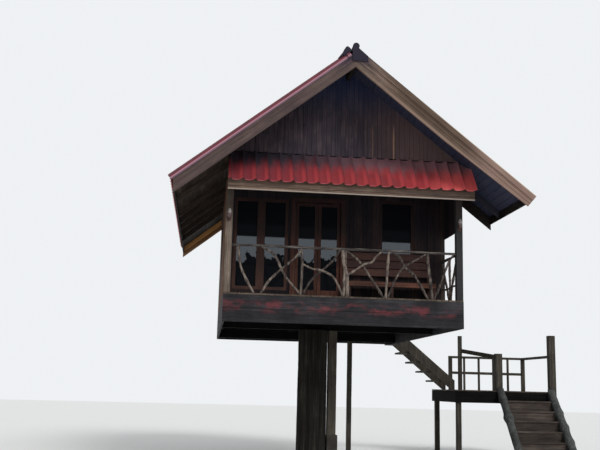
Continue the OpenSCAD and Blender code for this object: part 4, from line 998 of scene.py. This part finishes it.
# %% A tube along a smooth curve
def smooth_path(points, per_span=9):
    """Catmull-Rom: p = ((2b) + (c-a)t + (2a-5b+4c-d)t^2 + (3b-a-3c+d)t^3) / 2 between b and c."""
    points = np.asarray(points, float)
    ends = np.concatenate([[2 * points[0] - points[1]], points, [2 * points[-1] - points[-2]]])
    a, b, c, d = (ends[i : len(ends) - 3 + i, None] for i in range(4))
    t = np.linspace(0, 1, per_span, endpoint=False)[None, :, None]
    curve = (2 * b + (c - a) * t + (2 * a - 5 * b + 4 * c - d) * t**2 + (3 * b - a - 3 * c + d) * t**3) / 2
    return np.concatenate([curve.reshape(-1, 3), points[-1:]])


def branch(points, thick, thin, flat_axis=Y, corners=10, rough=0.07, per_span=9):
    """Rings round a smooth path. Radius = taper * (1 + wave round it + noise along it + knots)."""
    path = smooth_path(points, per_span)
    tangent = np.gradient(path, axis=0)
    tangent /= np.linalg.norm(tangent, axis=1, keepdims=True)
    side = np.cross(tangent, flat_axis)
    side /= np.linalg.norm(side, axis=1, keepdims=True)
    other = np.cross(side, tangent)
    turn = np.linspace(0, 2 * math.pi, corners, endpoint=False)
    along = np.linspace(0, 1, len(path))
    from_knot = (along[:, None] - chance.uniform(0.1, 0.9, 3)) / 0.03
    knots = np.exp(-(from_knot**2)) @ chance.uniform(0.1, 0.3, 3)
    noise = chance.normal(0, rough, (len(path), corners)) * 0.5 + chance.normal(0, rough, (len(path), 1))
    wave = rough * np.cos(2 * turn + chance.uniform(0, 6) + 9 * along[:, None])
    radius = ((thick + (thin - thick) * along) / 2)[:, None] * (1 + noise + wave + knots[:, None])
    ring = np.cos(turn)[None, :, None] * side[:, None] + np.sin(turn)[None, :, None] * other[:, None]
    return path[None, :, None] + (radius[..., None] * ring)[None]


print("three points give a path of", len(smooth_path([[0, 0, 0], [1, 0, 0], [2, 1, 0]])))

# %% The front lattice
BRANCH_D, RAIL_D = 0.048, 0.048
RAIL_Y = POST_Y + CORNER_W / 2
LATTICE = [
    ([(0.029, 0.98), (0.0425, 0.57), (0.069, 0.29), (0.107, -0.025)], 1.0, 0.9),
    ([(0.132, 0.98), (0.186, 0.83), (0.221, 0.53), (0.244, 0.345), (0.284, 0.13), (0.31, -0.025)], 0.8, 1.0),
    ([(0.13, -0.025), (0.163, 0.25), (0.19, 0.39), (0.23, 0.57, -8), (0.27, 0.74), (0.305, 0.92)], 1.0, 0.8),
    ([(0.3065, 0.98), (0.311, 0.53), (0.3065, -0.025)], 1.0, 1.0),
    ([(0.309, 0.66), (0.356, 0.56), (0.396, 0.53, -8), (0.441, 0.434), (0.4675, 0.27),
      (0.494, -0.025)], 0.8, 1.0),
    ([(0.311, -0.025), (0.351, 0.31), (0.387, 0.484, 8), (0.423, 0.638), (0.45, 0.773),
      (0.478, 0.98)], 1.0, 0.8),
    ([(0.49, 0.98), (0.4945, 0.72), (0.508, 0.45), (0.513, -0.025)], 1.3, 1.5),
    ([(0.503, 0.98), (0.5, 0.6), (0.495, -0.025)], 0.9, 1.1),
    ([(0.51, 0.45), (0.5525, 0.587), (0.588, 0.70, -8), (0.62, 0.753), (0.642, 0.885),
      (0.664, 0.98)], 1.0, 0.8),
    ([(0.503, 0.98), (0.5435, 0.84), (0.575, 0.69, 8), (0.611, 0.45), (0.6465, 0.2),
      (0.677, -0.025)], 0.8, 1.0),
    ([(0.696, 0.98), (0.691, 0.66), (0.682, -0.025)], 1.0, 1.0),
    ([(0.691, -0.025), (0.714, 0.285), (0.7405, 0.527), (0.767, 0.68), (0.803, 0.79), (0.834, 0.876),
      (0.868, 0.98)], 1.0, 0.7),
    ([(0.714, 0.98), (0.745, 0.87), (0.767, 0.68, 8), (0.803, 0.54), (0.834, 0.33),
      (0.877, -0.025)], 1.1, 1.0),
    ([(0.87, 0.98), (0.875, 0.69), (0.884, 0.36), (0.8925, -0.025)], 1.2, 1.4),
    ([(0.896, -0.025), (0.924, 0.27), (0.951, 0.62), (0.973, 0.86), (0.991, 0.98)], 1.0, 0.8),
]


def bay(u, v, out=0):
    """A point of the bay between the posts: shares of its width and of the rail's height, and mm back."""
    return [CORNER_W + u * (WIDTH - 2 * CORNER_W), RAIL_Y + out / 1000, v * RAIL_Z]


lattice = Pile()
for route, thick, thin in LATTICE:
    rings = branch([bay(*place) for place in route], BRANCH_D * thick, BRANCH_D * thin)
    lattice.add(rings, tone=chance.uniform(-0.5, 0.5))
lattice.make("branch_lattice_front", branch_bark, "branches", "front_railing", sharp=60)
sag = 0.006 * chance.normal(0, 0.6, 9)
rail_points = [bay(u, 1 + dv) for u, dv in zip(np.linspace(-0.003, 1.003, 9), sag)]
rail = Pile().add(branch(rail_points, RAIL_D, RAIL_D, rough=0.03))
rail.make("top_rail_front", rail_bark, "branches", sharp=60)

# %% The side lattices
SIDE_Y0 = POST_Y + CORNER_W
SIDE_LATTICE = [
    ([(-0.01, 1.0), (0.5, 1.005), (1.01, 1.0)], 1.04, 1.04),
    ([(0.03, 0.97), (0.17, 0.72), (0.3, 0.5), (0.42, 0.2), (0.5, -0.025)], 1.0, 0.9),
    ([(0.5, -0.025), (0.64, 0.28), (0.75, 0.5), (0.88, 0.75), (0.97, 0.97)], 1.0, 0.9),
    ([(-0.01, 0.33), (0.3, 0.36), (0.7, 0.345), (1.01, 0.38)], 0.9, 0.7),
    ([(0.5, -0.025), (0.49, 0.4), (0.51, 0.7), (0.5, 0.98)], 1.0, 1.0),
]
sides = Pile()
for x in (CORNER_W / 2, WIDTH - CORNER_W / 2):
    for route, thick, thin in SIDE_LATTICE:
        points = [[x, SIDE_Y0 + u * (ROOM_FRONT - SIDE_Y0), v * RAIL_Z] for u, v in route]
        sides.add(branch(points, BRANCH_D * thick, BRANCH_D * thin, X), tone=chance.uniform(-0.5, 0.5))
sides.make("branch_lattice_sides", branch_bark, "branches", "side_railings", sharp=60)

# %% [markdown]
# ## The bench
# A plain bench of sawn sticks: three frames, five seat slats, three wide back boards and an apron. A stick is
# a square timber with broken edges, so one helper makes them all.

# %% Bench sticks
BENCH_X, BENCH_L, BENCH_D = DOOR_X + DOOR_W + 0.04, 1.78, 0.52
SEAT, BACK, LEG = 0.40, 1.04, 0.06
bench_back = ROOM_FRONT - 0.02
bench_front, bench_end = bench_back - BENCH_D, BENCH_X + BENCH_L
bench = Pile()
for x in BENCH_X + np.array([0, (BENCH_L - LEG) / 2, BENCH_L - LEG]):
    for low, high, along in (
        ((x, bench_back - LEG, 0), (x + LEG, bench_back, BACK), 2),
        ((x, bench_front, 0), (x + LEG, bench_front + LEG, SEAT - 0.026), 2),
        ((x, bench_front + LEG + 0.001, SEAT - 0.095), (x + LEG, bench_back - LEG - 0.001, SEAT - 0.026), 1),
    ):
        bench.add(box(low, high, along), dark=0.9)
PLANED = {"edge": 0.005, "stations": 8, "wander": 0.001}
slat_y = bench_front + np.arange(5) * (BENCH_D - LEG) / 5
bench.add(laid(planks(slat_y, 0.07, SEAT - 0.025, 0.025, BENCH_X, bench_end, **PLANED), Y, Z, X))
lath_z = BACK - 0.15 - np.arange(3) * 0.162
bench.add(laid(planks(lath_z, 0.15, bench_back - 0.082, 0.022, BENCH_X, bench_end, **PLANED), Z, Y, X))
bench.add(box((BENCH_X, bench_front - 0.02, SEAT - 0.105), (bench_end, bench_front, SEAT - 0.005), 0))
bench.make("bench_sticks", bench_timber, "bench_wood", "bench")

# %% [markdown]
# ## The trunk pier
# The pier is a whole trunk with flutes that wind a little, furrows between ridges of wood, and checks. Its
# surface is a function of the angle round it and the height: r = R - flutes - furrows, where the furrows are
# a sum of waves that fit a whole number of times round the trunk, so the seam closes.

# %% The furrowed trunk
PIER_X, PIER_Y, PIER_R, PIER_TOP = 1.98, 2.2, 0.31, -0.51
FLUTE, FURROW, CHECK = 0.016, 0.01, 0.004
turn = np.linspace(0, 2 * math.pi, 260, endpoint=False)[None, :]
height = np.linspace(GROUND, PIER_TOP, 150)[:, None]
wind = 0.10 * np.sin(1.3 * height) + 0.05 * np.sin(3.7 * height + 1)
flutes = FLUTE * (1 - np.abs(np.cos(7 * (turn + wind) + 0.35 * np.sin(2.1 * height)))) ** 1.6
waves = np.zeros_like(turn * height)
for times, reach in zip(chance.integers(11, 60, 26), chance.uniform(0.4, 1.0, 26)):
    phase = chance.uniform(-5, 5) * height + chance.uniform(0, 6)
    waves = waves + reach * np.cos(times * (turn + 0.6 * wind) + phase)
furrow = FURROW * np.abs(waves) / np.abs(waves).max() + CHECK * (waves > 0)
radius = PIER_R - flutes - furrow
trunk = np.stack([PIER_X + radius * np.cos(turn), PIER_Y + radius * np.sin(turn), height + 0 * turn], -1)
Pile().add(trunk[None], tone=0.0).make("furrowed_trunk", bark, "pier_bark", "trunk_pier", sharp=60)

# %% [markdown]
# ## Posts, footing and landing
# Sawn posts have soft corners and are never quite straight, so each is a square timber in several stations
# that drift by a millimetre.

# %% Posts and footing
FOOTING_Z = GROUND + 0.64
for name, low, high, edge, stations, wander, finish, slot, node in (
    ("side_post_timber", (2.305, 2.11, FOOTING_Z), (2.485, 2.29, PIER_TOP), 0.009, 14, 0.0014,
     post_timber, "dark_timber", "side_post"),
    ("rear_post_timber", (3.3325, 5.8025, GROUND), (3.4475, 5.9175, PIER_TOP), 0.008, 14, 0.0016,
     post_timber, "dark_timber", "rear_post"),
    ("footing_block", (2.295, 2.075, GROUND), (2.52, 2.325, FOOTING_Z), 0.012, 9, 0.002,
     concrete, "concrete", "side_post_footing"),
):
    Pile().add(box(low, high, 2, edge, stations, wander)).make(name, finish, slot, node)
print("posts and footing stand", round(-GROUND, 2), "below the deck")

# %% The landing
LANDING_Z, LANDING_X, LANDING_W, LANDING_Y, LANDING_Y1 = -1.66, 5.9, 2.6, 5.0, 7.2
BEAM_T, LANDING_POST = 0.05, 0.12
landing_end = LANDING_X + LANDING_W
landing = Pile()
for x in (LANDING_X + BEAM_T, landing_end - BEAM_T - LANDING_POST):
    for y in (LANDING_Y + BEAM_T, LANDING_Y1 - BEAM_T - LANDING_POST):
        post_end = (x + LANDING_POST, y + LANDING_POST, LANDING_Z - 0.03)
        landing.add(box((x, y, GROUND), post_end, edge=0.008, stations=10, wander=0.0015))
landing.make("landing_post_timbers", post_timber, "dark_timber", "landing_posts")

left, wide = ripped(LANDING_Y, LANDING_Y1, 0.14, 0.006)
rings = planks(left, wide, LANDING_Z - 0.03, 0.03, LANDING_X, landing_end, stations=6, wander=0.0008)
Pile().add(laid(rings, Y, Z, X)).make("landing_planks", cross_timber, "deck_boards", "landing_deck")
low, high = LANDING_Z - 0.31, LANDING_Z - 0.031
beams = Pile()
for y in (LANDING_Y, LANDING_Y1 - BEAM_T):
    beams.add(box((LANDING_X, y, low), (landing_end, y + BEAM_T, high), 0, 0.007, 8, 0.001))
beams.make("landing_beams_across", under_cross, "dark_timber")
beams = Pile()
for x in (LANDING_X, landing_end - BEAM_T):
    beams.add(box((x, LANDING_Y + 0.051, low), (x + BEAM_T, LANDING_Y1 - 0.051, high), 1, 0.007, 8, 0.001))
beams.make("landing_beams_along", under_timber, "dark_timber")

# %% The platform behind the room
PLATFORM_X, PLATFORM_X1 = 3.27, 4.275
left, wide = ripped(DEPTH + 0.001, LANDING_Y1, 0.14, 0.006)
rings = planks(left, wide, -0.03, 0.03, PLATFORM_X, PLATFORM_X1, stations=4, wander=0.0006)
platform = Pile().add(laid(rings, Y, Z, X))
for x in (PLATFORM_X, PLATFORM_X1 - 0.06):
    platform.add(box((x, DEPTH + 0.001, -0.18), (x + 0.06, LANDING_Y1, -0.031), 1), dark=0.6)
platform.make("platform_planks", cross_timber, "deck_boards", "back_platform")

# %% [markdown]
# ## The lower flight
# Two logs lie on the slope of the stairs and the treads run between them over closed risers. A log is a ring
# carried along its axis, with knots and a wavering radius. Where it would pass below the ground or behind the
# landing its points are held at that plane, which cuts the log off flat.

# %% The logs and the stringers below them
STAIR_X, STAIR_W, RISERS, GOING = 7.12, 1.17, 7, 0.205
LOG_D, LOG_OUT, LOG_LONGER, STRING_T = 0.186, 0.095, 0.19, 0.05
RISE = (LANDING_Z - GROUND) / RISERS
foot = np.array([0, LANDING_Y - RISERS * GOING, GROUND])
head = np.array([0, LANDING_Y, LANDING_Z])
slant = np.linalg.norm(head - foot)
stops = np.linspace(-LOG_LONGER, slant + LOG_LONGER, 5)
string = [[foot[1], GROUND], [LANDING_Y, LANDING_Z], [LANDING_Y, LANDING_Z - 0.314],
          [foot[1] + 0.275, GROUND]]
logs = Pile()
for side in (-1, 1):
    x = STAIR_X + STAIR_W / 2 + side * (STAIR_W - STRING_T) / 2
    shift = np.array([x + side * LOG_OUT, 0, 0])
    points = [foot + shift + (head - foot) / slant * s + [0.004 * chance.normal(), 0, 0] for s in stops]
    rings = branch(points, LOG_D, LOG_D - 0.006, X, 28, 0.012, 14)
    rings[..., 2] = np.clip(rings[..., 2], GROUND, LANDING_Z + 0.06)
    rings[..., 1] = np.minimum(rings[..., 1], LANDING_Y - 0.001)
    logs.add(rings, tone=0.1 * side)
    low, high = sorted([x, x + side * STRING_T])
    logs.add(prism(string, low, high, Y, Z, X), tone=-0.6)
logs.make("log_stringers", log_timber, "dark_timber", "lower_stringers", sharp=50)

# %% Treads and risers
NOSE, TREAD_T = 0.02, 0.045
steps = np.arange(1, RISERS)
tread_y, tread_z = LANDING_Y - steps * GOING, LANDING_Z - steps * RISE
deep = np.minimum(LANDING_Y, tread_y + GOING + NOSE) - tread_y + NOSE
tread_rings = planks(tread_y - NOSE, deep, tread_z - TREAD_T, TREAD_T, STAIR_X, STAIR_X + STAIR_W,
                     edge=0.008, stations=9, wander=0.001)
treads = Pile().add(laid(tread_rings, Y, Z, X))
riser_foot = np.maximum(GROUND, tread_z - RISE - TREAD_T / 2)
riser_tall = tread_z - TREAD_T - 0.0005 - riser_foot
riser_rings = planks(tread_y, 0.02, riser_foot, riser_tall, STAIR_X, STAIR_X + STAIR_W,
                     edge=0.003, stations=5, wander=0.0006)
treads.add(laid(riser_rings, Y, Z, X), dark=0.2)
treads.make("worn_treads", tread_timber, "red_brown_boards", "lower_treads")

# %% [markdown]
# ## The pent fascia and nail heads
# The fascia is two boards, and the sun reaches only the lower edge of the second. Nail heads are low domes,
# six-sided because there are hundreds of them.

# %% Fascia boards
FASCIA_Y, FASCIA_L = 0.05 - PENT_OUT, 4.72
fascia_z = PENT_TOP - (pent_deep - 0.05) * (PENT_TOP - PENT_LOW) / pent_deep
fascia = Pile()
for below, wide, edge, tone in ((0.168, 0.168, 0.004, -0.1), (0.23, 0.058, 0.005, 0.05)):
    rings = planks(fascia_z - below, wide, FASCIA_Y, 0.03, 0, FASCIA_L, edge=edge, stations=14, wander=0.001)
    fascia.add(laid(rings, Z, Y, X), tone=tone)
weather_and_light(pale_cross, 0.45, (52, 42, 38), ("X", 2.4, 4.4))
weather_and_light(pale_cross, 0.7, (176, 162, 152), ("Z", fascia_z - 0.206, fascia_z - 0.214))
fascia.make("pent_fascia_boards", pale_cross, "pale_timber", "pent_fascia")


# %% Nail heads
def nail_heads(points, out, size=0.0045):
    """Domes at points, looking along out: a ring of radius size, and one of 0.6 size, 0.4 size proud."""
    side = np.cross(out, Z)
    a = np.linspace(0, 2 * math.pi, 6, endpoint=False)[:, None]
    ring = np.cos(a) * side + np.sin(a) * np.cross(out, side)
    shape = np.stack([ring * size - 0.3 * size * out, ring * 0.6 * size + 0.4 * size * out])
    return points[:, None, None] + shape[None]


def nail_rows(along, heights):
    """Every pair of a place along the board and a height, as two columns."""
    return np.stack(np.meshgrid(along, heights), -1).reshape(-1, 2).T


iron = Finish("nail_iron", {"Metallic": 0.6})
rust = iron.noise(60.0, 3.0)
iron.wear(iron.ramp(rust, (0.4, (38, 32, 30)), (0.6, (84, 56, 42))), 0.7)
EDGE_NAILS = [-0.48, -0.34, -0.23, -0.09]
nails = Pile()
u, z = nail_rows(np.arange(0.08, WIDTH, 0.555), EDGE_NAILS)
nails.add(nail_heads(np.stack([u, 0 * u, z], 1), -Y), tone=0.0)
u, z = nail_rows(np.arange(0.12, DEPTH, 0.61), EDGE_NAILS)
for x, out in ((0.0, -X), (WIDTH, X)):
    nails.add(nail_heads(np.stack([0 * u + x, u, z], 1), out), tone=0.0)
u, z = nail_rows(np.arange(0.1, 4.7, 0.4), [fascia_z - 0.06])
nails.add(nail_heads(np.stack([u, 0 * u + FASCIA_Y, z], 1), -Y), tone=0.0)
nails.make("nail_heads", iron, "dark_timber")

# %% [markdown]
# ## Which finish each CAD piece wears
# The other CAD pieces keep their own mesh. Only their material slot is filled.

# %% Finish the pieces that keep their mesh
wears = {
    "floor_beams": under_timber, "floor_joists": under_cross, "veranda_frame": pale_posts,
    "door_frame": joinery, "door_leaf_left": joinery, "door_leaf_right": joinery, "window_frames": joinery,
    "door_glass_left": glass, "door_glass_right": glass, "window_glass": glass, "post_lamps": lamp_jar,
    "rafters": rafter_timber, "roof_beams": dark_timber, "eave_boards": dark_timber,
    "eave_end_board": dark_cross, "verge_caps": verge_paint, "bargeboards_front": barge_timber,
    "bargeboards_rear": sunlit_rear_timber, "upper_flight": post_timber, "landing_rails": post_timber,
}
for name, finish in wears.items():
    nodes[name].data.materials.clear()
    nodes[name].data.materials.append(finish.material)
print("finished", len(wears), "of", len(nodes), "pieces that keep their mesh")

# %% [markdown]
# ## Light and ground
# Soft light comes from a large pale sky and from one broad lamp high on the right, over a plain pale floor.
# The sky is a little brighter where the camera, a mirror image or glass sees it than where it lights things.

# %% Floor, sky and lamp
REACH = 60.0
floor_mesh = bpy.data.meshes.new("floor")
corners = [(-REACH, -REACH, 0), (REACH, -REACH, 0), (REACH, REACH, 0), (-REACH, REACH, 0)]
floor_mesh.from_pydata(corners, [], [(0, 1, 2, 3)])
floor = bpy.data.objects.new("floor", floor_mesh)
bpy.context.scene.collection.objects.link(floor)
pale = Finish("pale_floor")
pale.wear((226, 226, 224), 0.9)
floor_mesh.materials.append(pale.material)

world = bpy.data.worlds.new("sky")
bpy.context.scene.world = world
world.use_nodes = True
sky = world.node_tree
rays = sky.nodes.new("ShaderNodeLightPath")
seen = rays.outputs["Is Camera Ray"]
for kind in ("Is Glossy Ray", "Is Transmission Ray"):
    either = sky.nodes.new("ShaderNodeMath")
    either.operation = "MAXIMUM"
    sky.links.new(seen, either.inputs[0])
    sky.links.new(rays.outputs[kind], either.inputs[1])
    seen = either.outputs[0]
strength = sky.nodes.new("ShaderNodeMix")
sky.links.new(seen, strength.inputs[0])
strength.inputs[2].default_value = 0.75
strength.inputs[3].default_value = 1.0
background = sky.nodes["Background"]
background.inputs["Color"].default_value = (0.86, 0.88, 0.9, 1)
sky.links.new(strength.outputs[0], background.inputs["Strength"])

lamp_data = bpy.data.lights.new("broad_lamp", "SUN")
lamp_data.energy = 1.7
lamp_data.angle = math.radians(25)
lamp = bpy.data.objects.new("broad_lamp", lamp_data)
lamp.rotation_euler = (math.radians(52), 0, math.radians(28))
bpy.context.scene.collection.objects.link(lamp)
bpy.context.scene.view_settings.view_transform = "Standard"
print("the floor is", 2 * REACH, "wide, the lamp's strength", lamp_data.energy)
